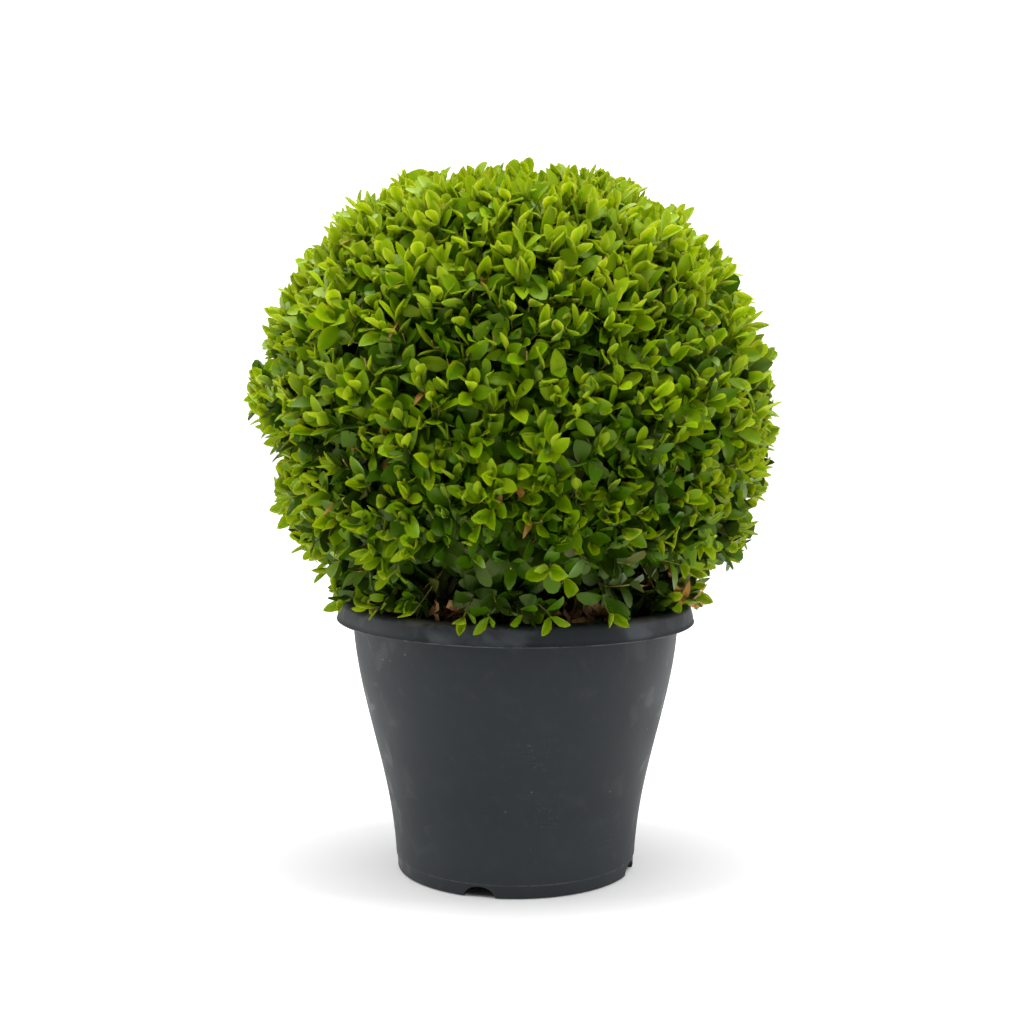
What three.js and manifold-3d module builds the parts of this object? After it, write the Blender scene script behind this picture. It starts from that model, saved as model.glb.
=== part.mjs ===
// A clipped ball of common box in a nursery pot: a moulded pot with a rolled rim, the compost that
// fills it, one short trunk that forks low into a leader and six boughs, and the dense clipped head.
// Millimetres, +Z up. The origin is the middle of the pot's foot, on the ground.

import * as THREE from "three";
import { mergeVertices } from "three/addons/utils/BufferGeometryUtils.js";
import Module from "manifold-3d";

const wasm = await Module();
wasm.setup();

// ---- driving dimensions ------------------------------------------------------------------------

const GAP = 0.3; // clearance between pieces that touch

const POT_HEIGHT = 212;
const RIM_RADIUS = 140; // outside of the rolled rim
const FOOT_RADIUS = 93.5; // outside of the wall at the ground
const WALL_TOP_RADIUS = 127; // outside of the wall under the rim
const WALL = 2.2;
const RIM_DEPTH = 15.5; // height of the skirt that the rim turns down

const HEAD_CENTRE = 361; // height of the ball's centre
const HEAD_RADIUS = 204; // to the leaf tips
const HEAD_FLATTEN = 0.09; // share that the clipping takes off the crown of the ball
const HEAD_FOOT = POT_HEIGHT + 3; // the lowest leaves stop just above the rim
const CORE_SHARE = 0.85; // the dense twiggy core, as a share of the ball
const COMPOST_TOP = POT_HEIGHT - 12;

const BOUGHS = 6; // besides the leader
const SHOOTS = 140;
const LEAF_LENGTH = 42;
const LEAF_WIDTH = 23;
const LEAF_THICKNESS = 1.6;
const LEAF_SINK = 0.3; // how far a leaf's root passes the middle of its twig

// ---- solids ------------------------------------------------------------------------------------

// A closed geometry as a solid, facing outwards, whichever way its profile ran.
function solidOf(geometry) {
  const bare = geometry.clone();
  bare.deleteAttribute("normal");
  bare.deleteAttribute("uv");
  const merged = mergeVertices(bare, 1e-4);
  const corners = merged.index.array;
  const faces = [];
  for (let i = 0; i < corners.length; i += 3) {
    const [a, b, c] = corners.slice(i, i + 3);
    if (a !== b && b !== c && c !== a) faces.push([a, b, c]);
  }
  const make = (triangles) =>
    new wasm.Manifold(
      new wasm.Mesh({
        numProp: 3,
        vertProperties: new Float32Array(merged.attributes.position.array),
        triVerts: new Uint32Array(triangles.flat()),
      }),
    );
  const solid = make(faces);
  return solid.volume() < 0 ? make(faces.map(([a, b, c]) => [a, c, b])) : solid;
}

// The largest body of a solid as a geometry, with slivers under 0.02 mm closed up.
function geometryOf(solid) {
  const bodies = solid.simplify(0.02).decompose();
  const whole = bodies.reduce((best, body) => (body.volume() > best.volume() ? body : best));
  const { vertProperties, triVerts } = whole.getMesh();
  const geometry = new THREE.BufferGeometry();
  geometry.setAttribute("position", new THREE.BufferAttribute(new Float32Array(vertProperties), 3));
  geometry.setIndex(new THREE.BufferAttribute(new Uint32Array(triVerts), 1));
  geometry.computeVertexNormals();
  return geometry;
}

function piece(name, solid, material) {
  const mesh = new THREE.Mesh(geometryOf(solid), material);
  mesh.name = name;
  return mesh;
}

// A profile of [radius, height] pairs turned about the Z axis.
function turned(profile, segments) {
  const points = profile.map(([radius, height]) => new THREE.Vector2(radius, height));
  return new THREE.LatheGeometry(points, segments).rotateX(Math.PI / 2);
}

// A tapering limb: turned straight, then bent along its curve.
function limb(curve, radiusAt, sides, steps) {
  const length = curve.getLength();
  const profile = [new THREE.Vector2(0, 0)];
  for (let i = 0; i <= steps; i++) {
    profile.push(new THREE.Vector2(1, (length * i) / steps));
  }
  profile.push(new THREE.Vector2(0, length));
  const geometry = new THREE.LatheGeometry(profile, sides);
  const { normals, binormals } = curve.computeFrenetFrames(steps, false);
  const place = geometry.attributes.position;
  for (let i = 0; i < place.count; i++) {
    const ring = Math.round((place.getY(i) * steps) / length);
    const along = ring / steps;
    const angle = Math.atan2(place.getZ(i), place.getX(i));
    const radius = Math.hypot(place.getX(i), place.getZ(i)) * radiusAt(along, angle);
    const point = curve
      .getPointAt(along)
      .addScaledVector(normals[ring], radius * Math.cos(angle))
      .addScaledVector(binormals[ring], radius * Math.sin(angle));
    place.setXYZ(i, point.x, point.y, point.z);
  }
  return solidOf(geometry);
}

// ---- the growth rule ---------------------------------------------------------------------------

const GOLDEN_ANGLE = Math.PI * (3 - Math.sqrt(5));
const UP = new THREE.Vector3(0, 0, 1);
const CENTRE = new THREE.Vector3(0, 0, HEAD_CENTRE);
const LOWEST = (HEAD_FOOT - HEAD_CENTRE) / HEAD_RADIUS; // sine of the lowest shoot's angle

// A seeded number from 0 to 1 for the k-th shoot.
function chance(k, salt) {
  const x = Math.sin(k * 127.1 + salt * 311.7) * 43758.5453;
  return x - Math.floor(x);
}

// Direction of the k-th of count shoots, spaced evenly over the ball by the golden angle.
function shootDirection(k, count) {
  const z = 1 - ((1 - LOWEST) * (k + 0.5)) / count;
  const across = Math.sqrt(1 - z * z);
  const azimuth = k * GOLDEN_ANGLE;
  return new THREE.Vector3(across * Math.cos(azimuth), across * Math.sin(azimuth), z);
}

// Distance from the ball's centre to its clipped surface.
function reach(direction) {
  return HEAD_RADIUS * (1 - HEAD_FLATTEN * Math.max(0, direction.z) ** 12);
}

// Box turns its shoots up towards the light.
function shootAxis(k, direction) {
  const upturn = 0.35 + 0.3 * chance(k, 1);
  return direction.clone().addScaledVector(UP, upturn).normalize();
}

// A level direction square to an axis, or one square to +X for an axis that stands upright.
function squareTo(axis) {
  const guide = axis.z > 0.9 ? new THREE.Vector3(1, 0, 0) : UP;
  return new THREE.Vector3().crossVectors(axis, guide).normalize();
}

// ---- pot ---------------------------------------------------------------------------------------

const FOOT_BAND = 11; // plain band round the foot, slightly set in
const BAND_INSET = 0.8;
const RIM_UNDERSIDE = POT_HEIGHT - RIM_DEPTH;
const FLOOR_UNDERSIDE = 10; // the floor stands clear of the ground on its foot ring
const FLOOR_TOP = 13;
const FOOT_RING = 5.5; // radial width of the foot ring, its set-in edge included
const NOTCHES = 4;
const FIRST_NOTCH = THREE.MathUtils.degToRad(-107); // from +X, a little left of the front
const NOTCH_HALF_WIDTH = 12.5;
const NOTCH_HEIGHT = 8.5;
const DRAIN_RADIUS = 7;
const DRAIN_AT = FOOT_RADIUS - FOOT_RING - DRAIN_RADIUS - 2;
const POT_SEGMENTS = 52;
const WALL_STEPS = 7;

// Outside of the wall: a soft S from the foot to the rim, slightly quicker at the top.
function wallRadius(height) {
  const share = height / RIM_UNDERSIDE;
  const eased = share ** 1.12;
  const curve = 0.85 * eased * eased * (3 - 2 * eased) + 0.15 * share;
  return FOOT_RADIUS + (WALL_TOP_RADIUS - FOOT_RADIUS) * curve;
}

const wallHeights = Array.from(
  { length: WALL_STEPS },
  (_, i) => FOOT_BAND + ((RIM_UNDERSIDE - FOOT_BAND) * (i + 1)) / WALL_STEPS,
);

function pot() {
  const shoulder = POT_HEIGHT - 4.5;
  const lip = WALL_TOP_RADIUS - 1;
  const outside = [
    [0, FLOOR_UNDERSIDE],
    [FOOT_RADIUS - FOOT_RING, FLOOR_UNDERSIDE],
    [FOOT_RADIUS - FOOT_RING, 0],
    [FOOT_RADIUS - BAND_INSET - 1.2, 0],
    [FOOT_RADIUS - BAND_INSET, 1.2],
    [wallRadius(FOOT_BAND) - BAND_INSET, FOOT_BAND - 0.6],
    [wallRadius(FOOT_BAND), FOOT_BAND],
    ...wallHeights.map((height) => [wallRadius(height), height]),
    [WALL_TOP_RADIUS, shoulder],
    [RIM_RADIUS - WALL - 0.6, shoulder],
    [RIM_RADIUS - WALL, RIM_UNDERSIDE],
    [RIM_RADIUS - 0.5, RIM_UNDERSIDE],
    [RIM_RADIUS, RIM_UNDERSIDE + 4],
    [RIM_RADIUS - 0.4, POT_HEIGHT - 5],
    [RIM_RADIUS - 2, POT_HEIGHT - 1.8],
    [RIM_RADIUS - 5, POT_HEIGHT],
    [lip + 2, POT_HEIGHT],
    [lip - 1, POT_HEIGHT - 2],
  ];
  const inside = wallHeights.map((height) => [wallRadius(height) - WALL, height]).reverse();
  const shell = solidOf(
    turned([...outside, ...inside, [FOOT_RADIUS - 3, FLOOR_TOP], [0, FLOOR_TOP]], POT_SEGMENTS),
  );
  return shell.subtract(wasm.Manifold.union(drainage()));
}

// An arched notch through the foot ring and a round hole through the floor behind it, four times.
function drainage() {
  const arch = new THREE.Shape();
  arch.moveTo(-NOTCH_HALF_WIDTH, -1);
  arch.lineTo(NOTCH_HALF_WIDTH, -1);
  arch.lineTo(NOTCH_HALF_WIDTH, 0);
  arch.absellipse(0, 0, NOTCH_HALF_WIDTH, NOTCH_HEIGHT, 0, Math.PI, false);
  arch.closePath();
  const cutters = [];
  for (let i = 0; i < NOTCHES; i++) {
    const turn = FIRST_NOTCH + (i * 2 * Math.PI) / NOTCHES;
    const notch = new THREE.ExtrudeGeometry(arch, {
      depth: 14,
      bevelEnabled: false,
      curveSegments: 8,
    });
    notch.rotateX(Math.PI / 2).rotateZ(Math.PI / 2);
    notch.translate(FOOT_RADIUS - FOOT_RING - 2, 0, 0).rotateZ(turn);
    const drain = new THREE.CylinderGeometry(DRAIN_RADIUS, DRAIN_RADIUS, 20, 20);
    drain.rotateX(Math.PI / 2).translate(DRAIN_AT, 0, FLOOR_UNDERSIDE).rotateZ(turn);
    cutters.push(solidOf(notch), solidOf(drain));
  }
  return cutters;
}

// ---- compost -----------------------------------------------------------------------------------

const TRUNK_SEAT = 24; // the level patch in the middle that the trunk stands on

// The compost fills the pot and lies a finger below the rim, with a slightly uneven surface.
function compost() {
  const side = wallHeights
    .filter((height) => height < COMPOST_TOP - 6)
    .map((height) => [wallRadius(height) - WALL - GAP, height]);
  const [edge] = side.at(-1);
  const surface = [edge - 5, 94, 70, 46].map((radius) => [radius, COMPOST_TOP - 3]);
  const geometry = turned(
    [
      [0, FLOOR_TOP + GAP],
      [FOOT_RADIUS - 3.4, FLOOR_TOP + GAP],
      ...side,
      [edge, COMPOST_TOP - 5.5],
      ...surface,
      [TRUNK_SEAT, COMPOST_TOP],
      [0, COMPOST_TOP],
    ],
    POT_SEGMENTS,
  );
  const place = geometry.attributes.position;
  for (let i = 0; i < place.count; i++) {
    const radius = Math.hypot(place.getX(i), place.getY(i));
    if (place.getZ(i) !== COMPOST_TOP - 3) continue;
    const angle = Math.atan2(place.getY(i), place.getX(i));
    const lump = Math.sin(3 * angle + radius * 0.11) + Math.sin(7 * angle - radius * 0.23);
    place.setZ(i, COMPOST_TOP - 3 + 1.3 * lump);
  }
  return solidOf(geometry);
}

// ---- trunk and boughs --------------------------------------------------------------------------

const TRUNK_FOOT = COMPOST_TOP + GAP;
const FORK = POT_HEIGHT + 18; // height of the fork
const TRUNK_RADIUS = 11.5;
const FLARE = 8; // how far the root flare stands out at the ground
const FLARE_ROOTS = 5;
const LEAN = new THREE.Vector3(3, -2, 0); // how far the fork leans from the foot
const LEADER_RADIUS = 7;
const BOUGH_RADIUS = 5.4;
const BOUGH_TIP_RADIUS = 3.2;

// The bare hollow inside the head, above the open mouth of the pot.
const HOLLOW_TOP = 432;
const HOLLOW_WIDEST = 305;
const HOLLOW_RADIUS = 112;
const HOLLOW_MOUTH = 82; // radius where it opens over the compost
const HEAD_UNDERSIDE = POT_HEIGHT - 4;

function trunk(grown) {
  const foot = new THREE.Vector3(0, 0, TRUNK_FOOT);
  const fork = new THREE.Vector3(LEAN.x, LEAN.y, FORK);
  const reachUp = UP.clone().multiplyScalar((FORK - TRUNK_FOOT) * 0.4); // both ends are cut level
  const curve = new THREE.CubicBezierCurve3(
    foot,
    foot.clone().add(reachUp),
    fork.clone().sub(reachUp),
    fork,
  );
  const radius = (along, angle) => {
    const flare = FLARE * Math.max(0, 1 - along * 1.7) ** 2.4;
    const roots = 0.75 + 0.45 * Math.cos(FLARE_ROOTS * angle + 0.6);
    return TRUNK_RADIUS * (1 - 0.12 * along) + flare * roots + grown;
  };
  return limb(curve, radius, 20, 9);
}

// Boughs leave the trunk's flank in turn, spread out and then climb to the hollow's wall.
function boughCurve(k) {
  const azimuth = (k * 2 * Math.PI) / BOUGHS + 0.35 + 0.25 * chance(k, 5);
  const out = new THREE.Vector3(Math.cos(azimuth), Math.sin(azimuth), 0);
  const low = k % 2;
  const start = new THREE.Vector3(LEAN.x, LEAN.y, FORK - 7 - 5 * low).multiply(
    new THREE.Vector3(0.8, 0.8, 1),
  );
  const end = out
    .clone()
    .multiplyScalar(low ? 125 : 96)
    .setZ(low ? 292 + 16 * chance(k, 6) : 362 + 20 * chance(k, 6));
  const knee = out.clone().multiplyScalar(low ? 44 : 30).setZ(FORK + (low ? 8 : 22));
  return new THREE.CatmullRomCurve3([
    start,
    start.clone().addScaledVector(out, 13).addScaledVector(UP, 3),
    knee,
    knee.clone().lerp(end, 0.5).addScaledVector(out, low ? 8 : 10),
    end,
  ]);
}

// The space of the hollow, made larger or smaller by a margin.
function hollow(margin) {
  const floor = COMPOST_TOP - 30;
  const profile = [
    [0, floor],
    [260, floor],
    [260, HEAD_UNDERSIDE + margin],
    [HOLLOW_MOUTH + margin, HEAD_UNDERSIDE + margin],
    [HOLLOW_MOUTH + 17 + margin, HEAD_UNDERSIDE + 32],
    [HOLLOW_RADIUS - 3 + margin, HEAD_UNDERSIDE + 66],
  ];
  for (let i = 0; i < 7; i++) {
    const angle = (Math.PI / 2) * (i / 7);
    const height = (HOLLOW_TOP - HOLLOW_WIDEST + margin) * Math.sin(angle);
    profile.push([(HOLLOW_RADIUS + margin) * Math.cos(angle), HOLLOW_WIDEST + height]);
  }
  profile.push([0, HOLLOW_TOP + margin]);
  return solidOf(turned(profile, 24));
}

const STUB_RADIUS = 6.5; // the head's own stem, which the leader meets
const STUB_LENGTH = 22;
const STUB_FOOT = HOLLOW_TOP - STUB_LENGTH;

function leader(grown) {
  const curve = new THREE.CatmullRomCurve3([
    new THREE.Vector3(LEAN.x, LEAN.y, FORK + GAP),
    new THREE.Vector3(LEAN.x, LEAN.y, FORK + 14),
    new THREE.Vector3(8, 2, 292),
    new THREE.Vector3(-4, 5, 350),
    new THREE.Vector3(0, 0, STUB_FOOT - 14),
    new THREE.Vector3(0, 0, STUB_FOOT - GAP),
  ]);
  return limb(curve, (along) => LEADER_RADIUS - 2 * along + grown, 10, 9);
}

function boughs() {
  const room = hollow(-GAP);
  const clear = trunk(GAP).add(leader(GAP));
  const grown = [];
  for (let k = 0; k < BOUGHS; k++) {
    const taper = (along) => BOUGH_RADIUS + (BOUGH_TIP_RADIUS - BOUGH_RADIUS) * along;
    grown.push(limb(boughCurve(k), taper, 8, 9).intersect(room).subtract(clear));
  }
  return grown;
}

// ---- clipped head ------------------------------------------------------------------------------

const TWIG_RADIUS = 2.4;
const TWIG_ROOT = 26; // how deep a twig starts below the ball's surface
const RIM_CLEARANCE = 2;

// One leaf: a thin kite-shaped blade of eight faces, its root at the origin, along +Y, facing +Z.
function leafBlade() {
  const blade = new THREE.OctahedronGeometry(1, 0);
  const place = blade.attributes.position;
  for (let i = 0; i < place.count; i++) {
    const widest = place.getY(i) === 0 ? 0.12 : 0;
    place.setXYZ(
      i,
      (place.getX(i) * LEAF_WIDTH) / 2,
      ((place.getY(i) + widest + 1) * LEAF_LENGTH) / 2,
      (place.getZ(i) * LEAF_THICKNESS) / 2,
    );
  }
  return blade;
}

// Puts a geometry's +Y along a direction and its +Z as near as it can to a facing.
function aimed(geometry, root, along, facing) {
  const across = new THREE.Vector3().crossVectors(along, facing).normalize();
  const face = new THREE.Vector3().crossVectors(across, along).normalize();
  const turn = new THREE.Matrix4().makeBasis(across, along, face).setPosition(root);
  return geometry.clone().applyMatrix4(turn);
}

// True if every corner stays inside the clipped ball and above the pot's rim.
function keepsToHead(geometry) {
  const corner = new THREE.Vector3();
  const place = geometry.attributes.position;
  for (let i = 0; i < place.count; i++) {
    corner.fromBufferAttribute(place, i);
    const outward = corner.clone().sub(CENTRE);
    const far = outward.length();
    if (far > reach(outward.normalize()) + 3) return false;
    const overRim = Math.hypot(corner.x, corner.y) > WALL_TOP_RADIUS - 6;
    if (corner.z < (overRim ? POT_HEIGHT + RIM_CLEARANCE : HEAD_FOOT - 4)) return false;
  }
  return true;
}

// The k-th shoot: a three-sided twig with two pairs of leaves, the upper pair at right angles
// to the lower and more upright, as box carries them.
function shoot(k) {
  const direction = shootDirection(k, SHOOTS);
  const axis = shootAxis(k, direction);
  const surface = CENTRE.clone().addScaledVector(direction, reach(direction));
  const tip = surface.addScaledVector(axis, -LEAF_LENGTH * (0.72 + 0.14 * chance(k, 2)));
  const root = tip.clone().addScaledVector(axis, -TWIG_ROOT);
  const twig = new THREE.ConeGeometry(TWIG_RADIUS, TWIG_ROOT + 4, 3);
  twig.translate(0, (TWIG_ROOT + 4) / 2, 0);
  const parts = [aimed(twig, root, axis, squareTo(axis))];
  const blade = leafBlade();
  const turn = chance(k, 3) * Math.PI;
  const pairs = [
    { back: 12, open: 1.2 + 0.2 * chance(k, 4), turn },
    { back: 2, open: 0.62 + 0.25 * chance(k, 7), turn: turn + Math.PI / 2 },
  ];
  for (const pair of pairs) {
    for (const side of [0, Math.PI]) {
      const across = squareTo(axis).applyAxisAngle(axis, pair.turn + side);
      const along = axis.clone().multiplyScalar(Math.cos(pair.open));
      along.addScaledVector(across, Math.sin(pair.open)).normalize();
      const base = tip.clone().addScaledVector(axis, -pair.back).addScaledVector(along, -LEAF_SINK);
      parts.push(aimed(blade, base, along, axis.clone().addScaledVector(across, -1)));
    }
  }
  return parts.filter(keepsToHead);
}

// The dense core of fine twigs, a little uneven, with the bare hollow open to the pot below.
function core() {
  const geometry = new THREE.IcosahedronGeometry(1, 4);
  const place = geometry.attributes.position;
  const point = new THREE.Vector3();
  for (let i = 0; i < place.count; i++) {
    point.fromBufferAttribute(place, i).normalize();
    const wave = Math.sin(9 * point.x + 2) * Math.sin(8 * point.y + 1) + Math.sin(13 * point.z);
    point.multiplyScalar(reach(point) * (CORE_SHARE + 0.014 * wave));
    place.setXYZ(i, point.x, point.y, point.z + HEAD_CENTRE);
  }
  return solidOf(geometry).subtract(hollow(0));
}

function head() {
  const stub = new THREE.CylinderGeometry(STUB_RADIUS, STUB_RADIUS, STUB_LENGTH + 20, 10);
  stub.rotateX(Math.PI / 2).translate(0, 0, STUB_FOOT + (STUB_LENGTH + 20) / 2);
  const parts = [core(), solidOf(stub)];
  for (let k = 0; k < SHOOTS; k++) {
    parts.push(...shoot(k).map(solidOf));
  }
  return wasm.Manifold.union(parts);
}

// ---- assembly ----------------------------------------------------------------------------------

const potPlastic = new THREE.MeshStandardMaterial({ color: 0x3a3d41, roughness: 0.5, metalness: 0 });
const compostBrown = new THREE.MeshStandardMaterial({ color: 0x241810, roughness: 1, metalness: 0 });
const bark = new THREE.MeshStandardMaterial({ color: 0x5a4a38, roughness: 0.9, metalness: 0 });
const boxLeaf = new THREE.MeshStandardMaterial({ color: 0x5c9018, roughness: 0.5, metalness: 0 });

const plant = new THREE.Group();
plant.add(piece("pot", pot(), potPlastic));
plant.add(piece("compost", compost(), compostBrown));
plant.add(piece("trunk", trunk(0), bark));
plant.add(piece("leader", leader(0), bark));
boughs().forEach((bough, k) => plant.add(piece(`bough_${k + 1}`, bough, bark)));
plant.add(piece("clipped_head", head(), boxLeaf));

export default plant;
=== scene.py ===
import math
from functools import cached_property, partialmethod

import bpy
import numpy as np
from mathutils import Matrix, Vector, noise


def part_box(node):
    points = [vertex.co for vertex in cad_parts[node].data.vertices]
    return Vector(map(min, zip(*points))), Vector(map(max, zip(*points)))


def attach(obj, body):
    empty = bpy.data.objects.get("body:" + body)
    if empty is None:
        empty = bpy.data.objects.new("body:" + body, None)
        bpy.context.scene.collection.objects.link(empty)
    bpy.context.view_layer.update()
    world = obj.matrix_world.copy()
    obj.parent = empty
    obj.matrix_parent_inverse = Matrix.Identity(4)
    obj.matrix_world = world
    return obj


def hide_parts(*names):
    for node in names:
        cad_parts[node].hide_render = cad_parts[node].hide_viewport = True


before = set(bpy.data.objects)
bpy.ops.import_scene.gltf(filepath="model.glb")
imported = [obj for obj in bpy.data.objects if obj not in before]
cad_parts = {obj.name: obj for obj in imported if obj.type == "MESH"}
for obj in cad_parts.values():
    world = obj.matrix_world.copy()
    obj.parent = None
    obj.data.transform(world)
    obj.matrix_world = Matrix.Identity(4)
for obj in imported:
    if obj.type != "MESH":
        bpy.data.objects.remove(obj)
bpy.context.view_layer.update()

# ---- Pot -----------------------------------------------------------------------------------------
# A moulded nursery pot of dark grey plastic: a thin wall that swells from a set-in foot band up to
# a rolled rim, which turns down as a skirt with a thin flash line along its edge. The floor stands
# on a foot ring, and four arched notches with a drain hole behind each let the water out. The
# colour of the plastic holds painted light: pale highlights along the flash line and the foot
# band, sheen patches and a slight lift on the skirt, and a lighter foot.

_, pot_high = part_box("pot")
SKIRT_PROUD = 0.0012
FOOT_SET_IN = 0.0464
WALL_SET_IN = 0.0132
RIM_RADIUS = pot_high[0] + SKIRT_PROUD
POT_HEIGHT = pot_high[2]
FOOT_RADIUS = RIM_RADIUS - FOOT_SET_IN
WALL_TOP_RADIUS = RIM_RADIUS - WALL_SET_IN
WALL = 0.0022
SKIRT_LEAN = 0.0022
RIM_RAISED = 0.0016
RIM_ASKEW = 0.0013
WARP_FROM, WARP_TO = 0.10, 0.20
RIM_DEPTH = 0.0155
RIM_ROLL = 0.0052
LIP_ROLL = 0.0024
SKIRT_FOOT = POT_HEIGHT - RIM_DEPTH
FOOT_BAND = 0.011
BAND_INSET = 0.0008
FOOT_RING = 0.0055
RING_INSIDE = FOOT_RADIUS - FOOT_RING
INNER_EDGE = 0.0015
OUTER_EDGE = 0.0014
FLOOR_UNDERSIDE = 0.010
FLOOR_TOP = 0.013
POT_SEGMENTS = 240
NOTCHES = 4
FIRST_NOTCH = math.radians(-107)
NOTCH_HALF_WIDTH = 0.0125
NOTCH_HEIGHT = 0.0085
DRAIN_RADIUS = 0.007
DRAIN_AT = RING_INSIDE - DRAIN_RADIUS - 0.002

PLASTIC = (0.0086, 0.0127, 0.0152)
PLASTIC_WORN = (0.0182, 0.0227, 0.0264)
# The grey of the painted light on the pot: sheen patches and a lift on the skirt, and a lighter foot.
PAINTED_LIGHT_GREY = (0.056, 0.064, 0.071)
# The pale grey of scratches and dust specks, and of the painted highlights along the edges.
SCUFF_AND_HIGHLIGHT_GREY = (0.16, 0.16, 0.155)
DUST = (0.115, 0.10, 0.08)


class Graph:
    """A node tree being built. node() adds one node and hands back one of its outputs."""

    def __init__(self, tree):
        self.tree = tree

    def node(self, kind, inputs=None, output=0, **settings):
        made = self.tree.nodes.new(kind)
        for name, value in settings.items():
            setattr(made, name, value)
        for name, value in (inputs or {}).items():
            self.feed(made.inputs[name], value)
        return Signal(self, made.outputs[output])

    def feed(self, socket, value):
        if isinstance(value, Signal):
            self.tree.links.new(value.socket, socket)
        elif socket.type == "RGBA" and len(value) == 3:
            socket.default_value = (*value, 1)
        else:
            socket.default_value = value


class Signal:
    """One output socket, which takes part in sums and comparisons like a number."""

    def __init__(self, graph, socket):
        self.graph = graph
        self.socket = socket

    def maths(self, operation, *others, swapped=False):
        ends = (*others, self) if swapped else (self, *others)
        return self.graph.node("ShaderNodeMath", dict(enumerate(ends)), operation=operation)

    __add__ = __radd__ = partialmethod(maths, "ADD")
    __mul__ = __rmul__ = partialmethod(maths, "MULTIPLY")
    __sub__ = partialmethod(maths, "SUBTRACT")
    __rsub__ = partialmethod(maths, "SUBTRACT", swapped=True)
    __lt__ = partialmethod(maths, "LESS_THAN")
    __gt__ = partialmethod(maths, "GREATER_THAN")
    __abs__ = partialmethod(maths, "ABSOLUTE")


class Finish(Graph):
    """A material round one Principled shader. Plain values go straight onto its sockets."""

    def __init__(self, name, **plain):
        self.material = bpy.data.materials.new(name)
        self.material.use_nodes = True
        super().__init__(self.material.node_tree)
        self.shader = self.tree.nodes["Principled BSDF"]
        for socket, value in plain.items():
            self.set(socket.replace("_", " "), value)

    def set(self, socket, value):
        names = {name.lower(): name for name in self.shader.inputs.keys()}
        self.feed(self.shader.inputs[names[socket.lower()]], value)

    @cached_property
    def place(self):
        return self.node("ShaderNodeTexCoord", output="Object")

    def axis(self, number):
        return self.node("ShaderNodeSeparateXYZ", {0: self.place}, number)

    def coats(self, socket, base, *coats):
        """Sets a colour: a base and the coats over it, each (share, colour)."""
        for share, colour in coats:
            base = self.node("ShaderNodeMix", {0: share, 6: base, 7: colour}, 2, data_type="RGBA")
        self.set(socket, base)

    def cloud(self, scale, detail=2.0, **more):
        sockets = {"Vector": self.place, "Scale": scale, "Detail": detail, **more}
        return self.node("ShaderNodeTexNoise", sockets)

    def ramp(self, value, low, high):
        span = {0: value, 1: low, 2: high}
        return self.node("ShaderNodeMapRange", span, interpolation_type="SMOOTHSTEP")

    def spots(self, scale, detail, low, high, **more):
        """A cloudy mask that turns from 0 to 1 between two levels of its noise."""
        return self.ramp(self.cloud(scale, detail, **more), low, high)

    def emboss(self, height, strength, depth):
        sockets = {"Strength": strength, "Distance": depth, "Height": height}
        self.set("Normal", self.node("ShaderNodeBump", sockets))


def wall_radius(height):
    """The wall's outside radius: it swells quickly above the foot and slowly below the rim."""
    share = height / SKIRT_FOOT
    eased = share**1.12
    return FOOT_RADIUS + (WALL_TOP_RADIUS - FOOT_RADIUS) * (
        0.85 * eased * eased * (3 - 2 * eased) + 0.15 * share
    )


def arc(radius_at, height_at, size, start, end, steps):
    """Points on a round edge, between two turns in degrees."""
    turns = np.radians(np.linspace(start, end, steps + 1))
    return [(radius_at + size * math.cos(t), height_at + size * math.sin(t)) for t in turns]


def ringed(name, first, rings, last):
    """A closed mesh of rings with as many points each, and a pole at either end."""
    sides = len(rings[0])
    verts = [first, *[point for ring in rings for point in ring], last]
    top = len(verts) - 1 - sides
    faces = []
    for i in range(sides):
        j = (i + 1) % sides
        faces.append((0, 1 + j, 1 + i))
        for low in range(1, top, sides):
            faces.append((low + i, low + j, low + sides + j, low + sides + i))
        faces.append((top + i, top + j, top + sides))
    mesh = bpy.data.meshes.new(name)
    mesh.from_pydata(verts, [], faces)
    return stand(name, mesh)


def turned(name, profile, segments):
    """A closed mesh turned about the Z axis, from a profile that starts and ends on the axis."""
    turns = np.linspace(0, 2 * math.pi, segments, endpoint=False)
    rings = [[(r * math.cos(t), r * math.sin(t), z) for t in turns] for r, z in profile[1:-1]]
    return ringed(name, (0, 0, profile[0][1]), rings, (0, 0, profile[-1][1]))


def stand(name, data):
    """An object at the origin that shows a mesh, a lamp or a camera."""
    made = bpy.data.objects.new(name, data)
    bpy.context.scene.collection.objects.link(made)
    return made


def settled(piece):
    """The piece with its modifiers turned into plain mesh."""
    graph = bpy.context.evaluated_depsgraph_get()
    mesh = bpy.data.meshes.new_from_object(
        piece.evaluated_get(graph), preserve_all_data_layers=True, depsgraph=graph
    )
    piece.modifiers.clear()
    piece.data = mesh
    return piece


def smooth(piece, crease=35):
    piece.data.polygons.foreach_set("use_smooth", [True] * len(piece.data.polygons))
    piece.data.set_sharp_from_angle(angle=math.radians(crease))
    return piece


def part(piece, slot, material, *nodes):
    """Gives a finished piece its material, hangs it from the root body and hides the parts it
    replaces.
    """
    if material:
        piece.data.materials.clear()
        piece.data.materials.append(material)
    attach(piece, "root")
    if nodes:
        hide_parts(*nodes)
    return piece


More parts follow.
